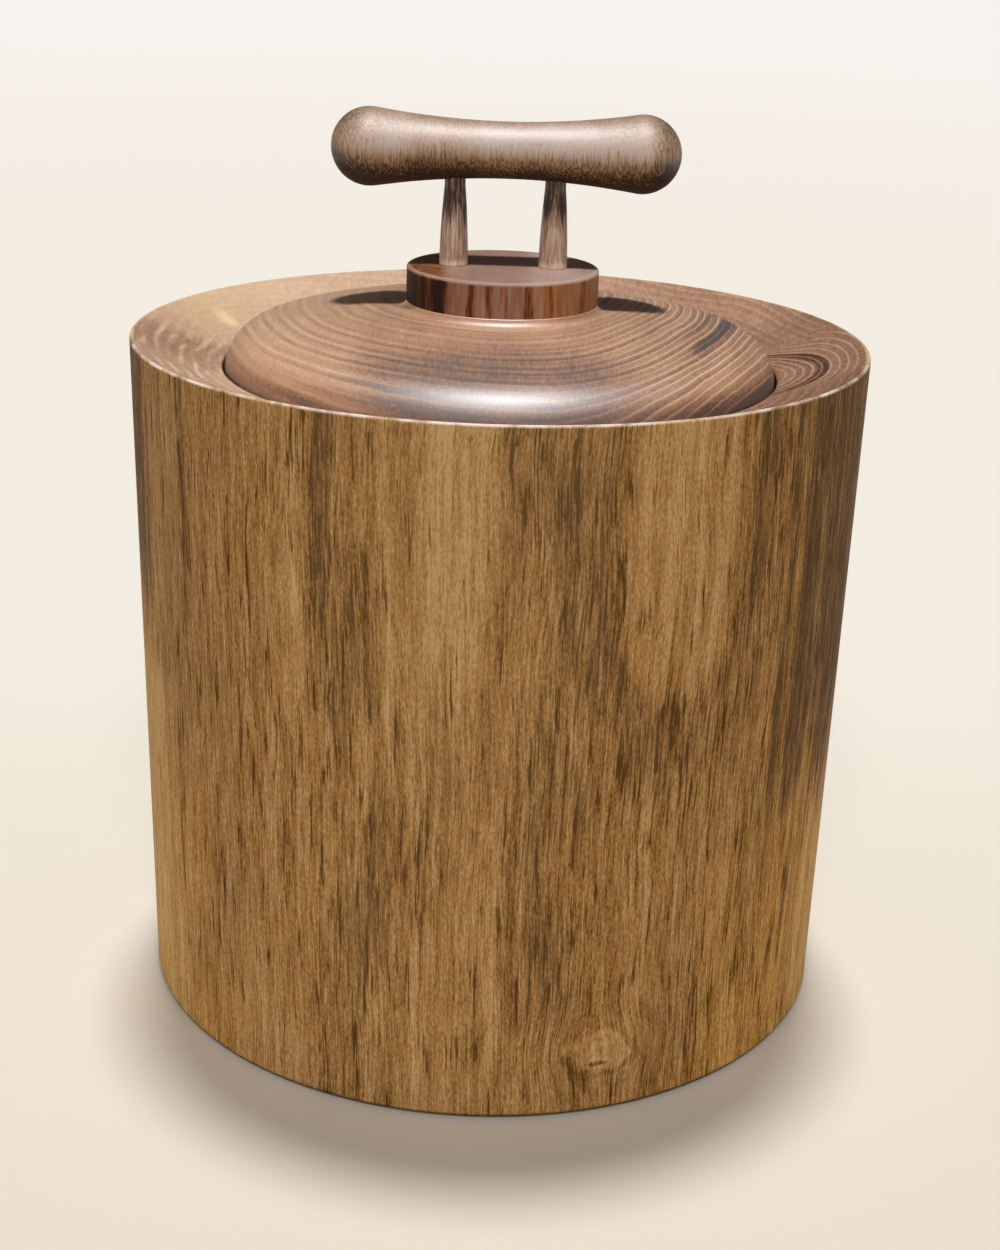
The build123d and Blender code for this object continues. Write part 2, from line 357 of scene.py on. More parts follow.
class Skin(Graph):
    """A material in the making: its surface, and the place on the object in millimetres."""

    def __init__(self, name: str) -> None:
        """Makes a material with a Principled surface and finds the place.

        Args:
            name: The material's name.
        """
        self.material = bpy.data.materials.new(name)
        self.material.use_nodes = True
        super().__init__(self.material.node_tree)
        self.tree.nodes.clear()
        self.surface = self.add("ShaderNodeBsdfPrincipled")
        output = self.add("ShaderNodeOutputMaterial")
        self.feed(output.inputs["Surface"], self.surface.outputs[0])
        spot = self.add("ShaderNodeTexCoord").outputs["Object"]
        self.place = self.put("ShaderNodeMapping", {"Vector": spot, "Scale": (1 / MM,) * 3})
        self.x, self.y, self.z = self.separate(self.place)

    def noise(
        self,
        scale: float | Sequence[float],
        detail: float = 2.0,
        roughness: float = 0.5,
        at: Field | None = None,
    ) -> Field:
        """Noise about 0, from roughly -1 to 1.

        Args:
            scale: Cycles per millimetre, all alike or along X, Y and Z.
            detail: Octaves.
            roughness: How much the finer octaves add.
            at: The place in millimetres, where it isn't the place on the object.

        Returns:
            The noise.
        """
        scales = (scale,) * 3 if isinstance(scale, float) else scale
        place = self.vector("MULTIPLY", at or self.place, scales)
        inputs = {"Vector": place, "Scale": 1.0, "Detail": detail, "Roughness": roughness}
        return self.put("ShaderNodeTexNoise", inputs, noise_dimensions="3D") * 2.0 + -1.0

    def mix(self, factor: Value, a: Value, b: Value) -> Field:
        """Mixes two plain values."""
        return self.put("ShaderNodeMix", {0: factor, 2: a, 3: b}, data_type="FLOAT")

    def blend(self, factor: Value, a: Value, b: Value, way: str = "MIX") -> Field:
        """Mixes two colours.

        Args:
            factor: The share of the second colour.
            a: The first colour.
            b: The second colour.
            way: How the second goes over the first.

        Returns:
            The colour.
        """
        node = self.add("ShaderNodeMix", data_type="RGBA", blend_type=way)
        self.feed(node.inputs["Factor"], factor)
        colours = [s for s in node.inputs if s.type == "RGBA"]
        for socket, value in zip(colours, (a, b)):
            self.feed(socket, (*value, 1.0) if isinstance(value, tuple) else value)
        return Field(self, next(s for s in node.outputs if s.type == "RGBA"))

    def ramp(self, factor: Field, stops: Stops) -> Field:
        """Turns a value into a colour by a ramp.

        Args:
            factor: The value, from 0 to 1.
            stops: Place and linear colour of each stop, in order.

        Returns:
            The colour.
        """
        node = self.add("ShaderNodeValToRGB")
        ramp = node.color_ramp
        while len(ramp.elements) < len(stops):
            ramp.elements.new(0.5)
        for element, (place, colour) in zip(ramp.elements, stops):
            element.position = place
            element.color = (*colour, 1.0)
        self.feed(node.inputs[0], factor)
        return Field(self, node.outputs[0])

    def cover(self, sockets: dict[str, Value]) -> None:
        """Feeds the sockets of the surface, by name."""
        for name, value in sockets.items():
            self.feed(self.surface.inputs[name], value)

    def emboss(self, height: Field, strength: float, depth: float) -> None:
        """Gives the surface a bump of a height, a strength and a depth in millimetres."""
        inputs = {"Strength": strength, "Distance": depth * MM, "Height": height}
        self.cover({"Normal": self.put("ShaderNodeBump", inputs)})


# Finishes


class Grain(Enum):
    """Which way the fibres of a blank run."""

    UPRIGHT = "z"
    FRONT_TO_BACK = "y"


@dataclass(frozen=True)
class WoodLook:
    """What one wooden piece looks like: its colours from light to dark, fibres and gloss.

    The fibres are as wide as one over fibre_scale[0] and as long as one over fibre_scale[1].
    """

    name: str
    tones: tuple[tuple[float, Colour], ...]
    grain: Grain = Grain.UPRIGHT
    middle: float = 0.42
    fibre_scale: Point = (1.2, 0.09)
    fibre: float = 0.42
    cloud_scale: Point = (0.09, 0.012)
    cloud: float = 0.24
    dash_scale: Point = (1.5, 0.13)
    dash: float = 0.26
    dash_level: float = 0.20
    pale_dash: float = 0.5
    grit: float = 0.0
    pores: float = 0.0
    roughness: float = 0.42
    specular: float = 0.4
    coat: float = 0.0
    coat_roughness: float = 0.40
    coat_ior: float = 1.5
    relief: float = 0.30


class Wood(Skin):
    """Builds a solid wood of fibres and pores, so that every face is cut truly.

    The scales are cycles per millimetre across the fibres, across them and along them.
    """

    grit_scale = (2.4, 2.4, 0.8)
    pore_scale = (0.95, 0.95, 0.034)
    pore_patch_scale = (0.5, 0.5, 0.06)
    second_place = (17.0, 41.0, 5.0)
    relief_depth = 0.15

    def __init__(self, look: WoodLook) -> None:
        """Starts the material and keeps its look."""
        super().__init__(look.name)
        self.look = look

    def along_grain(self, place: Field) -> Field:
        """The place turned so that the fibres run along Z.

        Args:
            place: A place in millimetres.

        Returns:
            The turned place.
        """
        if self.look.grain is Grain.UPRIGHT:
            return place
        x, y, z = self.separate(place)
        return self.combine(x, z, y)

    def bend(self) -> Field:
        """The place moved by whatever turns the fibres aside; plain wood has nothing."""
        return self.place

    def darkness(self) -> Value:
        """The tone that the figure adds, with painted light and shade on some pieces; plain wood has
        none.
        """
        return 0.0

    def tone(self, dark: Value) -> tuple[Field, Field]:
        """Works out the tone from 0, light, to 1, dark.

        Args:
            dark: The tone that the figure adds, with painted light and shade on some pieces.

        Returns:
            The tone, and how high the surface stands.
        """
        look = self.look
        grain = self.along_grain(self.bend())
        wide, long = look.fibre_scale
        fibre = self.noise((wide, wide, long), 3.0, 0.62, grain)
        wide, long = look.cloud_scale
        cloud = self.noise((wide, wide, long), at=grain)
        wide, long = look.dash_scale
        shifted = self.vector("ADD", grain, self.second_place)
        dashes = dark * 0.8 + self.noise((wide, wide, long), 1.0, at=shifted)
        lively = self.rise(dark, -0.14, 0.20, 0.6 * look.fibre, 1.25 * look.fibre)
        tone = cloud * look.cloud + (fibre * lively + (look.middle + dark))
        if look.grit:
            tone = self.noise(self.grit_scale, 2.0, 0.6, shifted) * look.grit + tone
        if look.pores:
            line = abs(self.noise(self.pore_scale, 1.0, at=shifted))
            patch = dark * 0.5 + self.noise(self.pore_patch_scale, at=grain)
            tone = line.rise(0.18, 0.03) * patch.rise(0.0, 0.40) * look.pores + tone
        dash = dashes.rise(look.dash_level, look.dash_level + 0.2)
        pale = dashes.rise(-look.dash_level, -look.dash_level - 0.2, 0.0, -look.pale_dash)
        tone = (dash + pale) * look.dash + tone
        return tone, self.height(fibre, tone, dash)

    def height(self, fibre: Field, tone: Field, dash: Field) -> Field:
        """How high the surface stands: it is lower where the wood is dark and in its dashes."""
        return dash * -0.6 + tone * -0.5

    def polish(self) -> Value:
        """How much of the gloss there is, the same all over on most pieces."""
        return self.look.coat

    def tint(self, colour: Field, dark: Value) -> Field:
        """The colour with whatever tint the piece has of its own; plain wood has none."""
        return colour

    def build(self) -> bpy.types.Material:
        """Builds the material.

        Returns:
            The finished material.
        """
        look = self.look
        dark = self.darkness()
        tone, height = self.tone(dark)
        self.cover(
            {
                "Base Color": self.tint(self.ramp(tone, look.tones), dark),
                "Roughness": tone * 0.16 + (look.roughness - 0.07),
                "Specular IOR Level": look.specular,
                "Coat Weight": self.polish(),
                "Coat Roughness": look.coat_roughness,
                "Coat IOR": look.coat_ior,
            }
        )
        self.emboss(height, look.relief, self.relief_depth)
        return self.material


def ring_tone(turns: Field, dark: float, pale: float) -> Field:
    """The tone of growth rings: wide brown bands between thin pale lines.

    Args:
        turns: How many rings lie between the place and the pith.
        dark: How much darker the late wood is.
        pale: How much paler the thin line is.

    Returns:
        The tone to add.
    """
    graph = turns.graph
    share = graph.math("FRACT", turns)
    ring = graph.math("FLOOR", turns)
    own = graph.put("ShaderNodeTexWhiteNoise", {"W": ring}, noise_dimensions="1D")
    late = share**1.6 * share.rise(1.0, 0.88) * ((own * 1.7 + -0.35) * dark)
    return late + share.rise(0.42, 0.12, 0.0, -pale) * share.rise(0.0, 0.10)


@dataclass(frozen=True)
class Streak:
    """A soft upright streak on the side: above 0 it darkens, below 0 it lightens.

    The azimuths are in degrees. A streak moves sideways by lean millimetres per millimetre up.
    """

    azimuth: float
    half_width: float
    strength: float
    low: float = -40.0
    high: float = 260.0
    lean: float = 0.0


STREAKS = (
    Streak(-52.5, 1.0, 0.20, 118.0),
    Streak(-24.0, 1.5, 0.24, 140.0),
    Streak(-19.4, 4.4, 0.16, 108.0, 156.0),
    Streak(-12.8, 0.8, 0.16, 168.0),
    Streak(-15.6, 1.8, 0.17, 50.0, 96.0),
    Streak(-19.0, 2.4, 0.15, 38.0, 80.0),
    Streak(-19.5, 6.0, 0.07, -40.0, 60.0),
    Streak(10.8, 4.0, 0.13, 28.0, 62.0, -0.10),
    Streak(9.5, 6.5, 0.08, 30.0, 98.0),
    Streak(6.5, 2.2, 0.09, 66.0, 122.0),
    Streak(2.0, 0.8, 0.14, 158.0),
    Streak(5.0, 4.0, 0.08, 138.0),
    Streak(12.4, 4.2, 0.17, 122.0, 184.0, -0.07),
    Streak(18.6, 2.8, 0.13, 100.0, 134.0, -0.38),
    Streak(25.8, 4.2, 0.12, 94.0, 112.0),
    Streak(32.6, 2.4, 0.08, 98.0, 132.0, 0.30),
    Streak(10.5, 1.8, 0.12, 84.0, 122.0, -0.45),
    Streak(40.6, 1.4, 0.14, 134.0, 260.0, 0.05),
    Streak(41.5, 4.6, 0.06, 98.0),
    Streak(45.0, 6.0, 0.07, 20.0, 92.0),
    Streak(32.5, 5.0, 0.07, -40.0, 88.0),
    Streak(48.2, 1.6, 0.22, 76.0),
    Streak(54.4, 3.0, 0.32, 78.0),
    Streak(60.8, 2.4, 0.28, 96.0),
    Streak(67.6, 3.6, 0.32, 78.0),
    Streak(62.0, 12.0, 0.07, 56.0),
    Streak(-46.6, 0.6, 0.10, -40.0, 100.0),
    Streak(-58.0, 2.4, 0.08, 40.0, 92.0),
    Streak(75.0, 3.4, 0.20, 84.0),
    Streak(47.6, 0.7, 0.20, 80.0, 120.0),
    Streak(56.3, 0.8, 0.24, 32.0, 57.0),
    Streak(-73.0, 6.0, 0.34, 122.0),
    Streak(-5.6, 5.4, -0.31, 116.0),
    Streak(-14.5, 2.0, -0.08, 120.0),
    Streak(-30.0, 3.4, -0.08, 106.0, 152.0),
    Streak(-59.5, 3.8, -0.08, 116.0),
    Streak(-68.0, 11.0, -0.22, -40.0, 106.0),
    Streak(-50.0, 2.2, -0.07, -40.0, 92.0),
    Streak(-42.0, 3.2, -0.07, -40.0, 60.0),
    Streak(-33.0, 5.5, -0.13, -40.0, 26.0),
    Streak(-8.0, 5.0, -0.07, -40.0, 60.0),
    Streak(72.0, 9.0, -0.16, -40.0, 66.0),
)


@dataclass(frozen=True)
class Tongue:
    """The pale tongue that hangs from the rim, with dark bands nested round its tip."""

    azimuth: float = 27.6
    half_width: float = 15.0
    tip: float = 118.0
    reach: float = 34.0


@dataclass(frozen=True)
class Knot:
    """A small pin knot near the foot."""

    azimuth: float = 18.4
    height: float = 19.0
    half_width: float = 7.6
    half_height: float = 5.6


class WallWood(Wood):
    """The wood of the pot's wall: the figure of its side, and its rings in the rim."""

    side_radius = 98.7
    foot_radius = 97.5
    flare = 2.5 / 186.5
    arris_radius = 98.6
    arris_height = 185.2
    ring_width = 3.0
    curl_width = 2.35
    curl_band = 87.4
    stroke_spacing = 3.7
    stroke_level = -0.33
    pale_spot = (45.1, 75.0)
    pale_spot_turn = (0.819, 0.574)
    tongue = Tongue()
    knot = Knot()
    cut_tones = (
        (0.0, (0.68, 0.485, 0.335)),
        (0.35, (0.475, 0.300, 0.200)),
        (0.60, (0.32, 0.175, 0.108)),
        (0.85, (0.155, 0.078, 0.050)),
        (1.0, (0.070, 0.034, 0.026)),
    )

    def arc(self) -> Field:
        """The way round the side from the front, in millimetres."""
        return self.math("ARCTAN2", self.x, self.y * -1.0) * self.side_radius

    def arc_at(self, azimuth: float) -> float:
        """The way round the side to an azimuth in degrees."""
        return math.radians(azimuth) * self.side_radius

    def side(self) -> Field:
        """1 on the side and 0 where the wall is cut across, on the rim and in the mouth."""
        outside = self.z * self.flare + self.foot_radius
        return (outside - self.length(self.x, self.y)).rise(1.0, 0.3)

    def knot_place(self) -> tuple[Field, Field, Field]:
        """The place seen from the knot.

        Returns:
            How far it is aside and up in millimetres, and how many knots away.
        """
        off = self.arc() - self.arc_at(self.knot.azimuth)
        up = self.z - self.knot.height
        return off, up, self.length(off / self.knot.half_width, up / self.knot.half_height)

    def bend(self) -> Field:
        """Lets the fibres waver and part round the knot.

        Returns:
            The place moved aside.
        """
        off, _, away = self.knot_place()
        spread = self.math("EXPONENT", away**2.0 * -0.35)
        push = self.noise(0.012) * 4.0 + off * spread * -0.42
        azimuth = math.radians(self.knot.azimuth)
        aside = self.combine(push * math.cos(azimuth), push * math.sin(azimuth), 0.0)
        return self.vector("ADD", self.place, aside)

    def height(self, fibre: Field, tone: Field, dash: Field) -> Field:
        """How high the surface stands, from the fibres alone, which the many streaks don't change."""
        return fibre * -0.5

    def darkness(self) -> Value:
        """Adds up the streaks, the tongue and the knot of the side.

        Returns:
            The tone to add.
        """
        ragged = self.noise((0.75, 0.75, 0.012), 3.0, 0.75)
        height = ragged * 24.0 + self.z
        arc = self.noise((0.03, 0.03, 0.016)) * 6.0 + self.arc()
        arc = ragged * 1.6 + arc
        tone = self.tongue_tone(arc, height)
        for streak in STREAKS:
            tone = tone + self.streak_tone(streak, arc, height)
        tone = tone * (ragged * 0.9 + 0.86) + self.knot_tone()
        return tone * self.side()

    def streak_tone(self, streak: Streak, arc: Field, height: Field) -> Field:
        """The tone that one streak adds.

        Args:
            streak: The streak.
            arc: The way round the side in millimetres.
            height: The height in millimetres.

        Returns:
            The tone to add.
        """
        middle = (min(streak.high, 186.0) + max(streak.low, 0.0)) / 2
        width = self.arc_at(streak.half_width)
        off = arc - (self.arc_at(streak.azimuth) - streak.lean * middle)
        if streak.lean:
            off = height * -streak.lean + off
        across = abs(off).rise(width * 1.6, width * 0.3, 0.0, streak.strength)
        foot = height.rise(streak.low - 15.0, streak.low + 17.0)
        if streak.high > 200.0:
            return across * foot
        return across * (foot * height.rise(streak.high + 7.0, streak.high - 9.0))

    def tongue_tone(self, arc: Field, height: Field) -> Field:
        """The tone of the pale tongue and of the dark bands that nest round it.

        Args:
            arc: The way round the side in millimetres.
            height: The height in millimetres.

        Returns:
            The tone to add.
        """
        tongue = self.tongue
        below = height - (tongue.tip + tongue.half_width * 1.5)
        below = self.math("MINIMUM", below, 0.0) * (1 / 1.5)
        edge = self.length(arc - self.arc_at(tongue.azimuth), below) - tongue.half_width
        nested = self.noise((0.28, 1.0, 1.0), 1.0, at=self.combine(edge, 0.0, 0.0))
        near = edge.rise(0.0, 5.0) * edge.rise(tongue.reach, 9.0)
        return near * (nested * 0.22 + 0.06) + edge.rise(1.4, -2.4, 0.0, -0.12)

    def knot_tone(self) -> Field:
        """The tone of the knot: a pale eye with rings in it, a dark outline and a dark core.

        Returns:
            The tone to add.
        """
        off, up, away = self.knot_place()
        away = self.noise(0.10) * 0.9 + away
        swirl = self.math("SINE", away * 11.0) * 0.06 * away.rise(2.2, 0.8)
        ring = abs(away - 1.15).rise(0.34, 0.02, 0.0, 0.17) * up.rise(4.0, -4.0, 0.3, 1.0)
        core = self.length((off + 0.4) * 0.28, up + 4.0).rise(1.1, 0.3, 0.0, 0.42)
        return swirl + away.rise(1.5, 0.9, 0.0, -0.20) + (ring + core)

    def curl_tone(self, slow: Field) -> Field:
        """The tone of the rings that bow outwards, with one dark band, on the right of the rim.

        Args:
            slow: A slow waver.

        Returns:
            The tone to add.
        """
        bow = abs(self.y + 2.0) ** 1.8 * self.x.rise(72.0, 99.0, 0.052, 0.012)
        reach = slow * 2.5 + self.x + bow
        band = abs(reach - self.curl_band).rise(2.2, 0.4, 0.0, 0.22)
        tone = ring_tone(reach / self.curl_width, 0.24, 0.28) * 0.9 + band
        share = self.y.rise(34.0, 14.0) * self.y.rise(-32.0, -18.0)
        return tone * (share * reach.rise(75.0, 80.0))

    def stroke_tone(self) -> Field:
        """The tone of the short pale strokes on a darker ground, on the left of the rim.

        Returns:
            The tone to add.
        """
        x, y = self.x, self.y
        radius = self.noise((0.06, 0.05, 0.05), 1.0) * 3.0 + self.length(x + 8.0, y * 0.9)
        strokes = self.math("SINE", radius / self.stroke_spacing * (2 * math.pi)).rise(-0.30, 1.0)
        patches = self.noise((0.22, 0.075, 0.1), 1.0).rise(-0.30, 0.30)
        ground = y.rise(18.0, 6.0) * y.rise(-34.0, -8.0, 0.06, 0.24)
        tone = strokes * patches * self.stroke_level + ground
        return tone * (x.rise(-66.0, -80.0) * y.rise(20.0, 4.0))

    def rim_colour(self, cloud: Field) -> Field:
        """The colour where the wall is cut across: its rings, its strokes, its pale sapwood and a
        painted sheen towards the back.

        Args:
            cloud: A broad unevenness.

        Returns:
            The colour.
        """
        x, y = self.x, self.y
        slow = self.noise(0.020, 0.0)
        fine = self.noise((0.9, 0.30, 0.2), 3.0, 0.72)
        tone = fine * 0.26 + 0.50 + self.curl_tone(slow) + self.stroke_tone()
        radius = slow * 7.0 + self.length(x + 14.0, y)
        plain = self.math("MAXIMUM", y.rise(20.0, 40.0), x.rise(78.0, 66.0))
        plain = self.math("MAXIMUM", plain, y.rise(-22.0, -36.0))
        clear = self.math("MAXIMUM", x.rise(10.0, 60.0, 0.34, 0.55), y.rise(-20.0, -60.0, 0.0, 1.2))
        tone = ring_tone(radius / self.ring_width, 0.26, 0.14) * plain * clear + tone
        tone = cloud * 0.12 + (x.rise(-74.0, 60.0, -0.20, 0.17) + tone)
        # Painted sheen: the rim paler towards the back.
        cut = self.ramp(tone + y.rise(20.0, 75.0, 0.0, -0.16), self.cut_tones)
        cosine, sine = self.pale_spot_turn
        along = (y * cosine + x * -sine - self.pale_spot[1]) / 2.0
        aside = x * cosine + y * sine + self.pale_spot[0]
        stroke = fine * 1.4 + self.length(aside, along)
        cut = self.blend(stroke.rise(4.2, 0.6, 0.0, 0.70), cut, (0.86, 0.66, 0.38))
        sap = x.rise(-58.0, -84.0) * y.rise(10.0, 34.0)
        return self.blend(sap * 0.35, cut, (0.70, 0.50, 0.27))

    def side_colour(self, cloud: Field, colour: Field, dark: Value) -> Field:
        """The colour of the side: greyer in its streaks, and lighter and yellower to the sides as
        painted light.

        Args:
            cloud: A broad unevenness.
            colour: The colour of the wood.
            dark: The tone that the figure adds.

        Returns:
            The colour.
        """
        colour = self.blend(self.rise(dark, 0.02, 0.26, 0.0, 0.26), colour, (0.190, 0.116, 0.060))
        # Painted light: lighter and yellower where the side turns away to the left and right, darker
        # brown towards the front middle and higher up.
        away_from_front = cloud * 30.0 + (self.z * -0.25 + abs(self.arc() + 8.0))
        painted_side_light = away_from_front.rise(42.0, 108.0) * self.rise(dark, 0.22, 0.0)
        colour = self.blend(painted_side_light, colour, (1.48, 1.44, 1.08), "MULTIPLY")
        return self.blend(away_from_front.rise(30.0, -40.0, 0.0, 0.16), colour, (0.25, 0.165, 0.075))

    def tint(self, colour: Field, dark: Value) -> Field:
        """Paints the rim where the wall is cut across, and a painted highlight along its outer edge.

        Args:
            colour: The colour of the wood.
            dark: The tone that the figure of the side adds.

        Returns:
            The colour everywhere on the wall.
        """
        cloud = self.noise((0.035, 0.035, 0.02), 3.0)
        side = self.side_colour(cloud, colour, dark)
        whole = self.blend(self.side(), self.rim_colour(cloud), side)
        # Painted highlight along the rim's outer edge: patchy, and strongest at the front.
        outwards = (self.length(self.x, self.y) - self.arris_radius).rise(0.0, 0.7)
        edge = outwards * self.z.rise(self.arris_height, self.arris_height + 0.7)
        unevened = self.noise(0.12, 3.0, 0.6).rise(-0.24, 0.22, 0.14, 0.82)
        edge = edge * (unevened * self.y.rise(10.0, -60.0, 0.3, 1.0))
        return self.blend(edge, whole, (0.82, 0.69, 0.61))


class LidWood(Wood):
    """The lid's wood: a board whose rings the dome cuts into nested ovals.

    Each dark band has its oval, its half width outside and inside, and how much darker it is.
    """

    bands = ((95.5, 3.6, 1.4, 0.52), (88.5, 1.8, 0.8, 0.30))
    pith = (-2.0, 26.0)
    oval_width = 0.74
    ring_step = 68.0

    def rings(self) -> tuple[Field, Field]:
        """The ovals of the rings.

        Returns:
            The oval that the place lies on, and how deep in the rings it lies.
        """
        waver = self.noise(0.013, 0.0)
        across = (waver * 9.0 + (self.x - self.pith[0])) / self.oval_width
        along = waver * -6.0 + (self.y - self.pith[1])
        oval = self.noise((0.07, 0.05, 0.07), 1.0) * 0.7 + self.length(across, along)
        return oval, oval**1.6 * (1 / self.ring_step) + self.z * -0.16

    def darkness(self) -> Value:
        """The tone of the rings, strongest on the right, with two dark bands among them, with painted
        shade on the lower shoulder and a painted darkening under the front highlight.

        Returns:
            The tone to add.
        """
        x, y = self.x, self.y
        oval, depth = self.rings()
        broken = self.noise((0.04, 0.035, 0.04), 1.0).rise(-0.30, 0.25, 0.40, 1.0)
        broken = self.mix(x.rise(20.0, 50.0), broken, 1.0)
        cloud = self.noise((0.05, 0.02, 0.05))
        soft = self.math("SINE", depth * (1.3 * math.pi) + cloud * 2.4)
        soft = soft * broken * x.rise(24.0, -40.0, 0.05, 0.10)
        tone = ring_tone(depth, 0.24, 0.34) * (x.rise(-4.0, 46.0, 0.34, 1.0) * broken) + soft
        right = x.rise(42.0, 54.0) * y.rise(-44.0, -24.0)
        for middle, outside, inside, strength in self.bands:
            tone = abs(oval - middle).rise(outside, inside, 0.0, strength) * right + tone
        # Painted shade on the lower shoulder at the left and right, where it turns down away from the
        # light.
        ends = self.math("MAXIMUM", x.rise(30.0, 52.0, 0.14, 0.60), x.rise(-30.0, -52.0, 0.14, 0.44))
        tone = self.z.rise(184.5, 177.5) * ends + tone
        # Painted darkening at the front middle, under the highlight, so that the highlight reads
        # whiter.
        tone = y.rise(-36.0, -58.0) * abs(x).rise(44.0, 20.0) * 0.26 + tone
        return tone + x.rise(-22.0, -58.0, 0.03, -0.17)


class BarWood(Wood):
    """The crossbar's wood: glossier on top, paler there as painted light, and dark beneath as painted
    shade.
    """

    axis_height = 235.21

    def darkness(self) -> Value:
        """The tone: paler above the axis and darker below it as painted light and shade, darker again
        near the top under the highlight, and darker at the ends.

        Returns:
            The tone to add.
        """
        height = self.noise(0.06) * 3.0 + (self.z - self.axis_height)
        # Painted light and shade: paler above the axis and darker below it; darker again near the top,
        # under the highlight.
        tone = height.rise(-8.5, 2.5, 0.50, -0.12) + height.rise(4.0, 8.0, 0.0, 0.16)
        return tone + abs(self.x).rise(34.0, 46.0, 0.0, 0.28)

    def polish(self) -> Value:
        """How much of the gloss there is: all of it on top, and little beneath."""
        return (self.z - self.axis_height).rise(-6.0, 3.0, 0.12, self.look.coat)


class PostWood(Wood):
    """The posts' wood: painted shade close under the crossbar, and paler at the foot."""

    def darkness(self) -> Value:
        """The tone of the painted shade on the neck and of the pale foot.

        Returns:
            The tone to add.
        """
        patch = self.noise((0.5, 0.5, 0.1))
        # Painted shade on the neck, close under the crossbar.
        neck = (patch * 7.0 + self.z).rise(216.0, 222.0, 0.0, 0.42)
        return neck + (patch + self.z).rise(207.0, 205.2, 0.0, -0.30)


class BossWood(Wood):
    """The boss's wood: a dark red heart with upright stripes in its edge.

    Each stripe has its place along X, its half width and how much darker it is. From edge_height up
    the edge goes over into the top, which a painted sheen makes paler.
    """

    edge_height = 203.4
    stripes = (
        (-24.4, 1.8, 0.30),
        (-20.9, 0.7, 0.22),
        (-16.2, 1.6, 0.38),
        (-7.9, 1.2, 0.26),
        (-3.5, 0.8, 0.22),
        (0.9, 0.7, 0.18),
        (7.1, 0.9, 0.20),
        (12.2, 1.0, 0.10),
        (21.6, 0.9, 0.16),
    )

    def darkness(self) -> Value:
        """The tone of the stripes, of the dark left end, and of the painted sheen and edge highlight on
        top.

        Returns:
            The tone to add.
        """
        x, z = self.x, self.z
        across = self.noise((0.25, 0.25, 0.10), 3.0, 0.6) * 1.6 + x
        tone = self.noise((0.5, 0.5, 0.04)) * 0.14
        for middle, half_width, strength in self.stripes:
            tone = tone + abs(across - middle).rise(1.7 * half_width, 0.2 * half_width, 0.0, strength)
        edge = self.edge_height
        tone = tone * z.rise(edge, edge + 0.8, 1.0, 0.12) + x.rise(-12.5, -18.0, 0.0, 0.26)
        tone = tone + x.rise(4.0, 9.0, 0.0, -0.10) + x.rise(19.0, 25.0, 0.0, 0.12)
        # Painted highlight round the top edge, and a painted sheen that makes the whole top paler.
        painted_top_highlight = self.length(x, self.y).rise(24.4, 25.6, 0.0, -0.30) * z.rise(edge, edge + 0.6)
        return tone + (painted_top_highlight + z.rise(edge + 0.2, edge + 1.1, 0.0, -0.24))

    def tint(self, colour: Field, dark: Value) -> Field:
        """The colour: greyer between the stripes of the middle, and rustier on the right.

        Args:
            colour: The colour of the wood.
            dark: The tone of the stripes and of the painted sheen on top.

        Returns:
            The colour.
        """
        rust = self.x.rise(6.0, 13.0) * self.z.rise(self.edge_height + 0.9, self.edge_height + 0.1)
        greyer = abs(self.x + 4.5).rise(13.0, 7.0, 0.0, 0.42) * self.rise(dark, 0.16, 0.02)
        colour = self.blend(greyer, colour, (0.235, 0.130, 0.096))
        return self.blend(rust, colour, (1.10, 0.98, 0.66), "MULTIPLY")


@dataclass(frozen=True)
class MouldedPlastic:
    """Satin moulded plastic with a faint orange peel."""

    name: str
    colour: Colour
    roughness: float = 0.38

    def build(self) -> bpy.types.Material:
        """Builds the material.

        Returns:
            The finished material.
        """
        skin = Skin(self.name)
        cloud = skin.noise(0.03, 3.0)
        darker = tuple(c * 0.90 for c in self.colour)
        colour = skin.blend(cloud.rise(-0.6, 0.6), self.colour, darker)
        skin.cover({"Base Color": colour, "Roughness": cloud * 0.06 + self.roughness})
        skin.emboss(skin.noise(0.7), 0.15, 0.05)
        return skin.material


@dataclass(frozen=True)
class Felt:
    """Pressed felt: short matted fibres."""

    name: str
    colour: Colour
    sheen: float = 0.4

    def build(self) -> bpy.types.Material:
        """Builds the material.

        Returns:
            The finished material.
        """
        skin = Skin(self.name)
        mat = skin.noise(1.6, 5.0, 0.7)
        paler = tuple(min(1.0, c * 1.9) for c in self.colour)
        colour = skin.blend(mat.rise(-0.5, 0.7), self.colour, paler)
        skin.cover({"Base Color": colour, "Roughness": 0.95, "Sheen Weight": self.sheen})
        skin.emboss(mat, 0.6, 0.3)
        return skin.material


@dataclass(frozen=True)
class ZincSteel:
    """Zinc-plated steel of a small screw, brushed by its turning."""

    name: str
    bright: Colour = (0.62, 0.61, 0.57)
    dull: Colour = (0.42, 0.41, 0.38)

    def build(self) -> bpy.types.Material:
        """Builds the material.

        Returns:
            The finished material.
        """
        skin = Skin(self.name)
        cloud = skin.noise(0.8, 4.0)
        colour = skin.blend(cloud.rise(-0.5, 0.6), self.bright, self.dull)
        skin.cover({"Base Color": colour, "Metallic": 1.0, "Roughness": cloud * 0.1 + 0.34})
        return skin.material


# Geometry trees


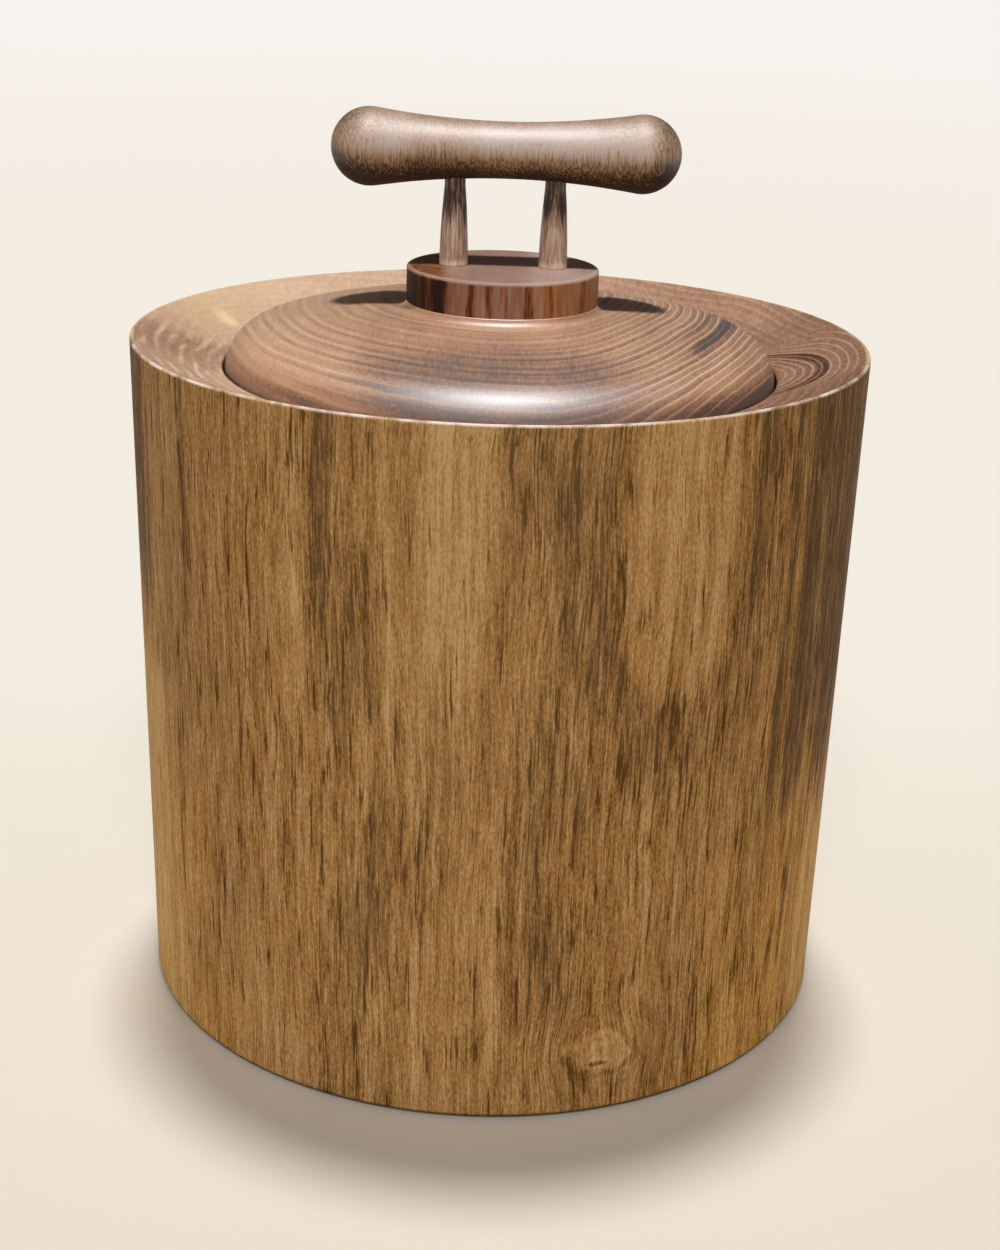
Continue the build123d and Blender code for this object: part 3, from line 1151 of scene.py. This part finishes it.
def new_tree(name: str, sockets: dict[str, str]) -> tuple[Graph, bpy.types.NodeOutputs]:
    """Starts a geometry tree with named inputs and one output.

    Args:
        name: The tree's name.
        sockets: The kind of each input, by name and in order.

    Returns:
        The tree's graph, and what is given to it.
    """
    tree = bpy.data.node_groups.new(name, "GeometryNodeTree")
    for socket, kind in sockets.items():
        tree.interface.new_socket(socket, in_out="INPUT", socket_type="NodeSocket" + kind)
    tree.interface.new_socket("Geometry", in_out="OUTPUT", socket_type="NodeSocketGeometry")
    graph = Graph(tree)
    return graph, graph.add("NodeGroupInput").outputs


def finish_tree(graph: Graph, geometry: Value, material: Socket) -> bpy.types.NodeTree:
    """Ends a geometry tree: real copies, the material, and the output.

    Args:
        graph: The tree's graph.
        geometry: What the tree has made.
        material: The material that it gets.

    Returns:
        The tree.
    """
    real = graph.put("GeometryNodeRealizeInstances", {0: geometry})
    dressed = graph.put("GeometryNodeSetMaterial", {"Geometry": real, "Material": material})
    graph.feed(graph.add("NodeGroupOutput").inputs[0], dressed)
    return graph.tree


def turning_tree() -> bpy.types.NodeTree:
    """The tree that turns an outline of (radius, 0, height) about Z, as a lathe does.

    Returns:
        The tree.
    """
    graph, given = new_tree(
        "turning",
        {
            "Outline": "Geometry",
            "Segments": "Int",
            "Unevenness": "Float",
            "Unevenness Scale": "Float",
            "Turn": "Vector",
            "Place": "Vector",
            "Finish": "Material",
        },
    )
    outline_given = {"Geometry": given["Outline"]}
    count = graph.put("GeometryNodeAttributeDomainSize", outline_given, "Point Count", component="MESH")
    columns = graph.math("ADD", given["Segments"], 1.0)
    sizes = {"Size X": 1.0, "Size Y": 1.0, "Vertices X": columns, "Vertices Y": count}
    grid = graph.put("GeometryNodeMeshGrid", sizes)
    position = graph.put("GeometryNodeInputPosition", {})
    across, along, _ = graph.separate(position)
    angle = (across + 0.5) * (2 * math.pi)
    index = graph.math("ROUND", (along + 0.5) * (count - 1.0))
    sample = graph.add("GeometryNodeSampleIndex", data_type="FLOAT_VECTOR", domain="POINT", clamp=True)
    for name, value in (*outline_given.items(), ("Value", position), ("Index", index)):
        graph.feed(sample.inputs[name], value)
    radius, _, height = graph.separate(sample.outputs[0])
    turned = graph.combine(
        radius * graph.math("COSINE", angle), radius * graph.math("SINE", angle), height
    )
    placed = graph.put("GeometryNodeSetPosition", {"Geometry": grid, "Position": turned})
    merged = graph.put("GeometryNodeMergeByDistance", {"Geometry": placed, "Distance": 1e-6})
    uneven = graph.put("ShaderNodeTexNoise", {"Scale": given["Unevenness Scale"]})
    push = {
        0: graph.put("GeometryNodeInputNormal", {}),
        "Scale": (uneven - 0.5) * given["Unevenness"],
    }
    offset = graph.put("ShaderNodeVectorMath", push, operation="SCALE")
    unevened = graph.put("GeometryNodeSetPosition", {"Geometry": merged, "Offset": offset})
    smooth = graph.put("GeometryNodeSetShadeSmooth", {"Geometry": unevened}, domain="FACE")
    move = {"Geometry": smooth, "Rotation": given["Turn"], "Translation": given["Place"]}
    return finish_tree(graph, graph.put("GeometryNodeTransform", move), given["Finish"])


def screw_ring_tree(turning: bpy.types.NodeTree) -> bpy.types.NodeTree:
    """The tree that turns one screw, cuts its slot and sets copies round a circle.

    Args:
        turning: The tree that turns an outline.

    Returns:
        The tree.
    """
    graph, given = new_tree(
        "screw_ring",
        {
            "Outline": "Geometry",
            "Segments": "Int",
            "Slot Size": "Vector",
            "Slot Height": "Float",
            "Count": "Int",
            "Circle Radius": "Float",
            "First Angle": "Float",
            "Seed": "Int",
            "Finish": "Material",
        },
    )
    turn = {name: given[name] for name in ("Outline", "Segments", "Finish")}
    screw = graph.put("GeometryNodeGroup", turn, node_tree=turning)
    slot = graph.put("GeometryNodeMeshCube", {"Size": given["Slot Size"]})
    lower = {"Geometry": slot, "Translation": graph.combine(0.0, 0.0, given["Slot Height"])}
    lowered = graph.put("GeometryNodeTransform", lower)
    cut = graph.put("GeometryNodeMeshBoolean", {0: screw, 1: lowered}, operation="DIFFERENCE")
    sizes = {"Vertices": given["Count"], "Radius": given["Circle Radius"]}
    circle = graph.put("GeometryNodeMeshCircle", sizes, fill_type="NONE")
    first = {"Geometry": circle, "Rotation": graph.combine(0.0, 0.0, given["First Angle"])}
    ring = graph.put("GeometryNodeTransform", first)
    spin = graph.add("FunctionNodeRandomValue", data_type="FLOAT_VECTOR")
    low, high = [socket for socket in spin.inputs if socket.type == "VECTOR"][:2]
    graph.feed(low, (0.0, 0.0, 0.0))
    graph.feed(high, (0.0, 0.0, math.pi))
    graph.feed(spin.inputs["Seed"], given["Seed"])
    spread = {"Points": ring, "Instance": cut, "Rotation": spin.outputs[0]}
    return finish_tree(graph, graph.put("GeometryNodeInstanceOnPoints", spread), given["Finish"])


def grown(
    name: str, mesh: bpy.types.Mesh, tree: bpy.types.NodeTree, inputs: dict[str, object]
) -> bpy.types.Object:
    """Runs a geometry tree on a mesh and keeps the result as a plain mesh.

    Args:
        name: The new piece's name.
        mesh: What the tree starts from.
        tree: The tree.
        inputs: The tree's named inputs.

    Returns:
        The piece, with no modifier on it.
    """
    source = bpy.data.objects.new(name + "_source", mesh)
    bpy.context.scene.collection.objects.link(source)
    modifier = source.modifiers.new("grown", "NODES")
    modifier.node_group = tree
    for item in tree.interface.items_tree:
        if item.in_out == "INPUT" and item.name in inputs:
            modifier[item.identifier] = inputs[item.name]
    graph = bpy.context.evaluated_depsgraph_get()
    made = bpy.data.meshes.new_from_object(source.evaluated_get(graph))
    made.name = name
    bpy.data.objects.remove(source)
    piece = bpy.data.objects.new(name, made)
    bpy.context.scene.collection.objects.link(piece)
    return piece


def outline_mesh(name: str, points: Sequence[Point]) -> bpy.types.Mesh:
    """Makes a mesh of edges along an outline given in millimetres.

    Args:
        name: The piece's name.
        points: The outline.

    Returns:
        The mesh.
    """
    mesh = bpy.data.meshes.new(name + "_outline")
    vertices = [(r * MM, 0.0, z * MM) for r, z in points]
    mesh.from_pydata(vertices, [(i, i + 1) for i in range(len(vertices) - 1)], [])
    return mesh


class Lathe:
    """Turns outlines into pieces with the turning tree."""

    def __init__(self) -> None:
        """Builds the tree once for all pieces."""
        self.tree = turning_tree()

    def turn(
        self,
        name: str,
        points: Sequence[Point],
        finish: bpy.types.Material,
        segments: int,
        place: Sequence[float] = (0.0, 0.0, 0.0),
        tilt: Tilt = Tilt.UPRIGHT,
        unevenness: float = 0.05,
    ) -> bpy.types.Object:
        """Turns one piece.

        Args:
            name: The piece's name.
            points: Its outline in millimetres.
            finish: Its material.
            segments: Steps round the axis.
            place: Where its own origin goes, in millimetres.
            tilt: How it lies.
            unevenness: How far hand finishing leaves the surface off, in millimetres.

        Returns:
            The piece.
        """
        return grown(
            name,
            outline_mesh(name, points),
            self.tree,
            {
                "Segments": segments,
                "Unevenness": unevenness * MM,
                "Unevenness Scale": 90.0,
                "Turn": (0.0, math.radians(tilt.value), 0.0),
                "Place": tuple(v * MM for v in place),
                "Finish": finish,
            },
        )


def settle(piece: bpy.types.Object, body: Body, nodes: Sequence[str]) -> None:
    """Hangs a finished piece on its body in place of the nodes that it stands for.

    Args:
        piece: The piece.
        body: The body that it rides on.
        nodes: The nodes that it replaces.
    """
    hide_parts(*nodes)
    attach(piece, body.value)
    log.info("%s rides on %s: %d faces", piece.name, body.value, len(piece.data.polygons))


def dress(frame: dict, node: str, material: bpy.types.Material) -> None:
    """Gives a node of the frame its finish.

    Args:
        frame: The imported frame.
        node: The node's name.
        material: The finish.
    """
    slots = frame["nodes"][node].data.materials
    slots.clear()
    slots.append(material)
    log.info("%s dressed in %s", node, material.name)


# Sub-assemblies


@dataclass
class PotBody:
    """The turned wall with its dished rim, the base disc and the felt under it."""

    rim_radius: float = 100.0
    foot_radius: float = 97.5
    rim_height: float = 186.5
    foot_height: float = 0.8
    mouth_radius: float = 75.7
    mouth_height: float = 177.5
    rim_hollow: float = 1.3
    ledge_height: float = 167.4
    cavity_radius: float = 71.0
    rebate_radius: float = 82.1
    floor_height: float = 14.0

    def wall_outline(self) -> list[Point]:
        """The wall's closed outline, from the rebate out, up, over the rim and down the bore.

        Returns:
            Its points.
        """
        rim = (self.rim_radius, self.rim_height)
        mouth = (self.mouth_radius, self.mouth_height)
        middle = ((rim[0] + mouth[0]) / 2, (rim[1] + mouth[1]) / 2 - self.rim_hollow)
        dish = arc_corners(rim, middle, mouth, 16)
        corners = [
            Corner(self.rebate_radius, self.foot_height, 0.3),
            Corner(self.foot_radius, self.foot_height, 1.2),
            Corner(self.rim_radius, self.rim_height, 0.6),
            *dish,
            Corner(self.mouth_radius, self.mouth_height, 0.8),
            Corner(self.mouth_radius, self.ledge_height),
            Corner(self.cavity_radius, self.ledge_height, 0.8),
            Corner(self.cavity_radius, self.floor_height),
            Corner(self.rebate_radius, self.floor_height),
        ]
        return outline(corners, closed=True)

    def build(self, frame: dict, lathe: Lathe) -> None:
        """Turns the wall and dresses the base.

        Args:
            frame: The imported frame.
            lathe: The lathe that turns the wall.
        """
        wall = lathe.turn("pot_wall", self.wall_outline(), WallWood(WALL_LOOK).build(), segments=320)
        settle(wall, Body.POT, ["pot_body"])
        dress(frame, "base_disc", Wood(BASE_LOOK).build())
        dress(frame, "base_pad", Felt("brown_felt", (0.045, 0.028, 0.020)).build())


@dataclass
class Liner:
    """The moulded liner that hangs by its flange in the mouth."""

    flange_radius: float = 75.2
    flange_top: float = 169.9
    flange_bottom: float = 167.4
    neck_radius: float = 69.5
    wall: float = 2.0
    foot_height: float = 15.5
    floor: float = 2.2
    draft_degrees: float = 1.3
    corner_round: float = 10.0

    def cup_outline(self) -> list[Point]:
        """The liner's outline, from under its floor out, up, over the flange and back inside.

        Returns:
            Its points.
        """
        draft = math.tan(math.radians(self.draft_degrees))
        inner_floor = self.foot_height + self.floor
        outer_foot = self.neck_radius - draft * (self.flange_bottom - self.foot_height)
        inner_neck = self.neck_radius - self.wall
        inner_foot = inner_neck - draft * (self.flange_top - inner_floor)
        corners = [
            Corner(0.0, self.foot_height),
            Corner(outer_foot, self.foot_height, self.corner_round + self.wall),
            Corner(self.neck_radius, self.flange_bottom, 0.4),
            Corner(self.flange_radius, self.flange_bottom, 0.3),
            Corner(self.flange_radius, self.flange_top, 0.6),
            Corner(inner_neck, self.flange_top, 0.8),
            Corner(inner_foot, inner_floor, self.corner_round),
            Corner(0.0, inner_floor),
        ]
        return outline(corners, closed=False)

    def build(self, lathe: Lathe, plastic: bpy.types.Material) -> None:
        """Turns the liner.

        Args:
            lathe: The lathe that turns it.
            plastic: Its finish.
        """
        cup = lathe.turn("liner_cup", self.cup_outline(), plastic, segments=192, unevenness=0.02)
        settle(cup, Body.LINER, ["inner_liner"])


@dataclass
class Lid:
    """The domed lid with its boss, and the plate and screws under it."""

    radius: float = 75.0
    seat_height: float = 169.9
    widest_height: float = 175.9
    shoulder_round: float = 12.5
    crown_radius: float = 288.0
    recess_radius: float = 68.2
    recess_height: float = 172.4
    boss_radius: float = 26.0
    boss_height: float = 10.2
    cove_radius: float = 2.0
    cove_depth: float = 1.0
    spigot_radius: float = 18.0
    spigot_depth: float = 7.0
    screw_count: int = 3
    screw_circle: float = 50.0
    screw_head_radius: float = 2.9
    screw_head_height: float = 1.8
    screw_shank_radius: float = 1.5
    screw_length: float = 10.0
    screw_slot_width: float = 0.8
    screw_slot_depth: float = 0.8
    screw_tip: float = 2.0
    boss_gap: float = 0.03
    seat_gap: float = 0.02
    socket_gap: float = 0.1
    socket_room: float = 0.3
    dip_reach: float = 10.0

    def crown_height(self, radius: float) -> float:
        """The height of the crown at a radius.

        Args:
            radius: The radius.

        Returns:
            The height.
        """
        inner = self.radius - self.shoulder_round
        rise = math.sqrt((self.crown_radius - self.shoulder_round) ** 2 - inner**2)
        return self.widest_height - rise + math.sqrt(self.crown_radius**2 - radius**2)

    def dome_outline(self) -> list[Point]:
        """The dome's outline, from its recess out, round the shoulder and up to the boss's cove.

        Returns:
            Its points.
        """
        inner = self.radius - self.shoulder_round
        rise = math.sqrt((self.crown_radius - self.shoulder_round) ** 2 - inner**2)
        meets = math.atan2(rise, inner)
        shoulder = arc((inner, self.widest_height), self.shoulder_round, 0.0, meets, 28)
        wall = self.boss_radius + self.boss_gap
        start = shoulder[-1].r
        stop = wall + self.cove_radius
        crown = []
        for i in range(1, 37):
            radius = start + (stop - start) * i / 36
            near = max(0.0, 1.0 - (radius - stop) / self.dip_reach)
            dip = self.cove_depth * near * near * (3 - 2 * near)
            crown.append(Corner(radius, self.crown_height(radius) - dip))
        middle = (stop, crown[-1].z + self.cove_radius)
        cove = arc(middle, self.cove_radius, -math.pi / 2, -math.pi, 10)[1:]
        foot = self.crown_height(self.boss_radius)
        socket_radius = self.spigot_radius + self.socket_gap
        socket = foot - self.spigot_depth - self.socket_room
        corners = [
            Corner(0.0, self.recess_height),
            Corner(self.recess_radius, self.recess_height, 0.5),
            Corner(self.recess_radius, self.seat_height, 0.4),
            Corner(self.radius, self.seat_height, 3.0),
            *shoulder,
            *crown,
            *cove,
            Corner(wall, foot - self.seat_gap),
            Corner(socket_radius, foot - self.seat_gap),
            Corner(socket_radius, socket),
            Corner(0.0, socket),
        ]
        return outline(corners, closed=False)

    def boss_outline(self) -> list[Point]:
        """The boss's outline with its spigot.

        Returns:
            Its points.
        """
        foot = self.crown_height(self.boss_radius)
        corners = [
            Corner(0.0, foot - self.spigot_depth),
            Corner(self.spigot_radius, foot - self.spigot_depth, 0.5),
            Corner(self.spigot_radius, foot),
            Corner(self.boss_radius, foot, 0.25),
            Corner(self.boss_radius, foot + self.boss_height, 0.8),
            Corner(0.0, foot + self.boss_height),
        ]
        return outline(corners, closed=False)

    def build(self, frame: dict, lathe: Lathe, plastic: bpy.types.Material) -> None:
        """Turns the dome and the boss, dresses the plate, and sets its screws.

        Args:
            frame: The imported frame.
            lathe: The lathe that turns the wood.
            plastic: The finish of the plate.
        """
        dome = lathe.turn("lid_crown", self.dome_outline(), LidWood(LID_LOOK).build(), segments=320)
        settle(dome, Body.LID, ["lid_dome"])
        boss_wood = BossWood(BOSS_LOOK).build()
        boss = lathe.turn("lid_boss_disc", self.boss_outline(), boss_wood, segments=192)
        settle(boss, Body.LID, ["lid_boss"])
        dress(frame, "lid_plate", plastic)
        steel = ZincSteel("zinc_steel").build()
        dress(frame, "boss_screw", steel)
        settle(self.build_screws(lathe, steel), Body.LID, ["lid_plate_screws"])

    def screw_outline(self) -> list[Point]:
        """A pan-head screw's outline, from under its head up to its tip.

        Returns:
            Its points.
        """
        corners = [
            Corner(0.0, self.seat_height - self.screw_head_height),
            Corner(self.screw_head_radius, self.seat_height - self.screw_head_height, 0.9),
            Corner(self.screw_head_radius, self.seat_height, 0.1),
            Corner(self.screw_shank_radius, self.seat_height),
            Corner(self.screw_shank_radius, self.seat_height + self.screw_length - self.screw_tip, 0.3),
            Corner(0.0, self.seat_height + self.screw_length),
        ]
        return outline(corners, closed=False, spacing=1.0)

    def build_screws(self, lathe: Lathe, steel: bpy.types.Material) -> bpy.types.Object:
        """Turns and slots one screw and sets copies of it round the plate.

        Args:
            lathe: The lathe, whose turning tree the screws' own tree uses.
            steel: The finish.

        Returns:
            The screws, one piece.
        """
        slot = (3 * self.screw_head_radius, self.screw_slot_width, 2 * self.screw_slot_depth)
        return grown(
            "plate_screw_ring",
            outline_mesh("plate_screw", self.screw_outline()),
            screw_ring_tree(lathe.tree),
            {
                "Segments": 48,
                "Slot Size": tuple(side * MM for side in slot),
                "Slot Height": (self.seat_height - self.screw_head_height) * MM,
                "Count": self.screw_count,
                "Circle Radius": self.screw_circle * MM,
                "First Angle": math.pi / 2,
                "Seed": 4,
                "Finish": steel,
            },
        )


@dataclass
class Handle:
    """The two posts and the crossbar that the lid is lifted by."""

    post_spacing: float = 26.8
    foot_radius: float = 3.9
    middle_radius: float = 3.55
    neck_radius: float = 2.8
    tenon_radius: float = 3.0
    tenon_depth: float = 11.0
    neck_below_axis: float = 9.5
    into_bar: float = 2.7
    bar_length: float = 93.0
    end_radius: float = 10.3
    waist_radius: float = 7.4
    axis_above_boss: float = 30.6
    boss_top: float = 204.61

    def post_outline(self) -> list[Point]:
        """A post's outline: tenon, swelling foot, slender neck.

        Returns:
            Its points.
        """
        axis = self.boss_top + self.axis_above_boss
        neck = axis - self.neck_below_axis
        swell = arc_corners(
            (self.foot_radius, self.boss_top),
            (self.middle_radius, (self.boss_top + neck) / 2),
            (self.neck_radius, neck),
            14,
        )
        corners = [
            Corner(0.0, self.boss_top - self.tenon_depth),
            Corner(self.tenon_radius, self.boss_top - self.tenon_depth, 0.3),
            Corner(self.tenon_radius, self.boss_top),
            Corner(self.foot_radius, self.boss_top, 0.2),
            *swell,
            Corner(self.neck_radius, neck),
            Corner(self.neck_radius, axis + self.into_bar),
            Corner(0.0, axis + self.into_bar),
        ]
        return outline(corners, closed=False, spacing=1.2)

    def bar_outline(self) -> list[Point]:
        """The crossbar's outline: a ball, a long hollow waist and a ball.

        Returns:
            Its points.
        """
        end = self.bar_length / 2 - self.end_radius
        thinner = 2 * (self.end_radius - self.waist_radius)
        waist_curve = (end**2 + self.waist_radius**2 - self.end_radius**2) / thinner
        lean = math.atan2(self.waist_radius + waist_curve, end)
        half = (math.pi / 2 - lean) * 19 / 20
        ball = arc((0.0, end), self.end_radius, math.pi / 2, lean - math.pi / 2, 40)
        middle = (self.waist_radius + waist_curve, 0.0)
        waist = arc(middle, waist_curve, math.pi + half, math.pi - half, 38)
        lower = [Corner(c.r, -c.z) for c in ball]
        corners = [*lower, *waist, *reversed(ball)]
        return outline(corners, closed=False, spacing=1.5)

    def build(self, lathe: Lathe) -> None:
        """Turns the posts and the crossbar.

        Args:
            lathe: The lathe that turns them.
        """
        post_wood = PostWood(POST_LOOK).build()
        for name, side in (("left_post", -1), ("right_post", 1)):
            place = (side * self.post_spacing / 2, 0.0, 0.0)
            post = lathe.turn(name + "_turned", self.post_outline(), post_wood, 64, place)
            settle(post, Body.LID, [name])
        place = (0.0, 0.0, self.boss_top + self.axis_above_boss)
        bar_wood = BarWood(BAR_LOOK).build()
        points = self.bar_outline()
        bar = lathe.turn("crossbar_turned", points, bar_wood, 128, place, Tilt.LYING, unevenness=0.12)
        settle(bar, Body.LID, ["crossbar"])


# Looks of the wooden pieces


WALL_LOOK = WoodLook(
    name="wall_wood",
    tones=(
        (0.0, (0.63, 0.395, 0.178)),
        (0.30, (0.468, 0.248, 0.086)),
        (0.52, (0.345, 0.170, 0.050)),
        (0.76, (0.215, 0.098, 0.024)),
        (1.0, (0.105, 0.044, 0.009)),
    ),
    middle=0.40,
    fibre_scale=(1.7, 0.075),
    fibre=0.76,
    cloud_scale=(0.26, 0.012),
    cloud=0.38,
    dash_scale=(1.9, 0.13),
    dash=0.24,
    dash_level=0.22,
    pale_dash=0.30,
    grit=0.58,
    pores=0.68,
    roughness=0.56,
    specular=0.06,
)
BASE_LOOK = WoodLook(
    name="base_wood",
    tones=((0.0, (0.46, 0.25, 0.10)), (0.5, (0.30, 0.145, 0.055)), (1.0, (0.11, 0.055, 0.028))),
    fibre=0.5,
)
LID_LOOK = WoodLook(
    name="lid_wood",
    tones=(
        (0.0, (0.74, 0.47, 0.290)),
        (0.30, (0.50, 0.265, 0.132)),
        (0.56, (0.315, 0.138, 0.060)),
        (0.78, (0.140, 0.060, 0.034)),
        (1.0, (0.048, 0.025, 0.020)),
    ),
    grain=Grain.FRONT_TO_BACK,
    fibre_scale=(1.2, 0.14),
    fibre=0.22,
    cloud=0.14,
    dash=0.06,
    grit=0.16,
    roughness=0.55,
    specular=0.1,
    coat=1.0,
    coat_roughness=0.53,
    coat_ior=2.75,
)
BOSS_LOOK = WoodLook(
    name="boss_wood",
    tones=(
        (0.0, (0.42, 0.30, 0.245)),
        (0.26, (0.33, 0.190, 0.140)),
        (0.50, (0.240, 0.086, 0.034)),
        (0.72, (0.095, 0.030, 0.012)),
        (1.0, (0.024, 0.008, 0.004)),
    ),
    middle=0.46,
    fibre=0.38,
    dash=0.14,
    roughness=0.50,
    specular=0.06,
    coat=0.15,
    coat_roughness=0.42,
)
POST_LOOK = WoodLook(
    name="post_wood",
    tones=((0.0, (0.70, 0.53, 0.41)), (0.45, (0.385, 0.245, 0.170)), (1.0, (0.055, 0.030, 0.022))),
    fibre_scale=(1.6, 0.12),
    fibre=1.0,
    cloud=0.10,
)
BAR_LOOK = WoodLook(
    name="bar_wood",
    # The pale, greyish top tones carry the painted highlight on top of the bar.
    tones=(
        (0.0, (0.55, 0.43, 0.38)),
        (0.30, (0.43, 0.305, 0.245)),
        (0.52, (0.310, 0.175, 0.080)),
        (0.76, (0.150, 0.072, 0.022)),
        (1.0, (0.026, 0.012, 0.006)),
    ),
    fibre_scale=(1.9, 0.13),
    fibre=0.50,
    dash_scale=(2.2, 0.16),
    dash=0.28,
    dash_level=0.20,
    pale_dash=0.1,
    roughness=0.55,
    specular=0.1,
    coat=1.0,
    coat_roughness=0.59,
    coat_ior=2.40,
)


# Studio


@dataclass(frozen=True)
class Lamp:
    """A lamp that shines from one direction.

    Towards is the direction from the pot to the lamp, level is how bright a white face square to it
    becomes, and width is how wide it looks from the pot, in degrees. A lamp that isn't mirrored only
    fills in, and glossy faces don't show it.
    """

    name: str
    towards: tuple[float, float, float]
    level: float
    width: float
    mirrored: bool = True
    for_floor: bool = False

    def build(self, lit: bpy.types.Collection) -> None:
        """Sets the lamp.

        Args:
            lit: The light-linking collection of what it lights.
        """
        lamp = bpy.data.lights.new(self.name, "SUN")
        lamp.energy = self.level * math.pi
        lamp.angle = math.radians(self.width)
        holder = bpy.data.objects.new(self.name, lamp)
        holder.rotation_mode = "QUATERNION"
        holder.rotation_quaternion = Vector(self.towards).to_track_quat("Z", "Y")
        holder.light_linking.receiver_collection = lit
        holder.visible_glossy = self.mirrored
        bpy.context.scene.collection.objects.link(holder)


KEY_TILT = math.radians(14.0)
LAMPS = (
    Lamp("key", (0.02, -math.sin(KEY_TILT), math.cos(KEY_TILT)), 1.06, 5.0),
    Lamp("front", (-0.15, -1.0, 0.18), 0.16, 50.0, mirrored=False),
    Lamp("fill_left", (-0.85, -0.75, 0.10), 0.20, 60.0, mirrored=False),
    Lamp("fill_right", (0.52, -1.0, 0.10), 0.20, 60.0, mirrored=False),
    Lamp("floor_back", (0.0, 0.17, 1.0), 0.66, 9.0, for_floor=True),
    Lamp("floor_front", (0.0, -0.9, 1.0), 0.34, 25.0, for_floor=True),
)


@dataclass
class Studio:
    """The camera at the photograph's viewing angle, soft light and a pale floor."""

    lens: float = 57.06
    camera_distance: float = 536.19
    camera_height: float = 297.97
    pitch_degrees: float = 20.15
    yaw_degrees: float = 0.25
    roll_degrees: float = 1.85
    sky: Colour = (1.0, 0.985, 0.955)
    sky_level: float = 0.05
    backdrop: Colour = (0.956, 0.913, 0.863)
    floor_near: Colour = (0.84, 0.76, 0.635)
    floor_middle: Colour = (0.955, 0.892, 0.792)
    floor_far: Colour = (1.0, 0.965, 0.92)
    floor_cast: Colour = (0.36, 0.31, 0.24)
    floor_half: float = 40000.0

    def build_camera(self) -> None:
        """Sets the camera where the photograph was taken from."""
        pitch = math.radians(self.pitch_degrees)
        yaw = math.radians(self.yaw_degrees)
        roll = math.radians(self.roll_degrees)
        level = Vector((math.cos(yaw), -math.sin(yaw), 0.0))
        flat = math.cos(pitch)
        ahead = Vector((math.sin(yaw) * flat, math.cos(yaw) * flat, -math.sin(pitch)))
        above = level.cross(ahead)
        right = level * math.cos(roll) + above * math.sin(roll)
        up = above * math.cos(roll) - level * math.sin(roll)
        camera = bpy.data.objects.new("camera", bpy.data.cameras.new("camera"))
        camera.data.lens = self.lens
        camera.data.clip_start = 0.01
        turned = Matrix((right, up, -ahead)).transposed().to_4x4()
        spot = Vector((0.0, -self.camera_distance * MM, self.camera_height * MM))
        camera.matrix_world = Matrix.Translation(spot) @ turned
        bpy.context.scene.collection.objects.link(camera)
        bpy.context.scene.camera = camera

    def floor_link(self, name: str, floor: bpy.types.Object, state: str) -> bpy.types.Collection:
        """A light-linking collection that holds only the floor, included or excluded.

        Args:
            name: Its name.
            floor: The floor.
            state: INCLUDE or EXCLUDE.

        Returns:
            The collection.
        """
        lit = bpy.data.collections.new(name)
        lit.objects.link(floor)
        lit.collection_objects[0].light_linking.link_state = state
        return lit

    def build_light(self, floor: bpy.types.Object) -> None:
        """Sets the lamps and an even sky.

        Args:
            floor: The floor, which only its own two broad lamps light.
        """
        but_floor = self.floor_link("all_but_floor", floor, "EXCLUDE")
        only_floor = self.floor_link("only_floor", floor, "INCLUDE")
        for lamp in LAMPS:
            lamp.build(only_floor if lamp.for_floor else but_floor)
        world = bpy.data.worlds.new("studio")
        world.use_nodes = True
        world.node_tree.nodes.clear()
        graph = Graph(world.node_tree)
        sky = {"Color": (*self.sky, 1.0), "Strength": self.sky_level}
        shades = {
            0: graph.put("ShaderNodeLightPath", {}, "Is Camera Ray"),
            1: graph.put("ShaderNodeBackground", sky),
            2: graph.put("ShaderNodeBackground", {"Color": (*self.backdrop, 1.0)}),
        }
        output = graph.add("ShaderNodeOutputWorld")
        graph.feed(output.inputs[0], graph.put("ShaderNodeMixShader", shades))
        bpy.context.scene.world = world

    def build_floor(self) -> bpy.types.Object:
        """Lays a pale floor that grows a little lighter towards the back.

        Returns:
            The floor.
        """
        half = self.floor_half * MM
        corners = [(-half, -half, 0.0), (half, -half, 0.0), (half, half, 0.0), (-half, half, 0.0)]
        mesh = bpy.data.meshes.new("floor")
        mesh.from_pydata(corners, [], [(0, 1, 2, 3)])
        floor = bpy.data.objects.new("floor", mesh)
        bpy.context.scene.collection.objects.link(floor)
        skin = Skin("pale_floor")
        seen = skin.blend(skin.y.rise(-260.0, 320.0), self.floor_near, self.floor_middle)
        seen = skin.blend(skin.length(skin.x, skin.y).rise(300.0, 4500.0), seen, self.floor_far)
        path = skin.add("ShaderNodeLightPath").outputs
        looked_at = skin.math("MAXIMUM", path["Is Camera Ray"], path["Is Glossy Ray"])
        colour = skin.blend(looked_at, self.floor_cast, seen)
        skin.cover({"Base Color": colour, "Roughness": 0.9, "Specular IOR Level": 0.1})
        mesh.materials.append(skin.material)
        return floor

    def build(self) -> None:
        """Builds the whole studio."""
        bpy.context.scene.view_settings.view_transform = "Standard"
        self.build_camera()
        self.build_light(self.build_floor())


def main() -> None:
    """Builds the pot piece by piece round the frame."""
    logging.basicConfig(level=logging.INFO, format="%(message)s")
    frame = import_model()
    Studio().build()
    lathe = Lathe()
    plastic = MouldedPlastic("ivory_plastic", (0.77, 0.70, 0.57)).build()
    PotBody().build(frame, lathe)
    Liner().build(lathe, plastic)
    Lid().build(frame, lathe, plastic)
    Handle().build(lathe)


if __name__ == "__main__":
    main()
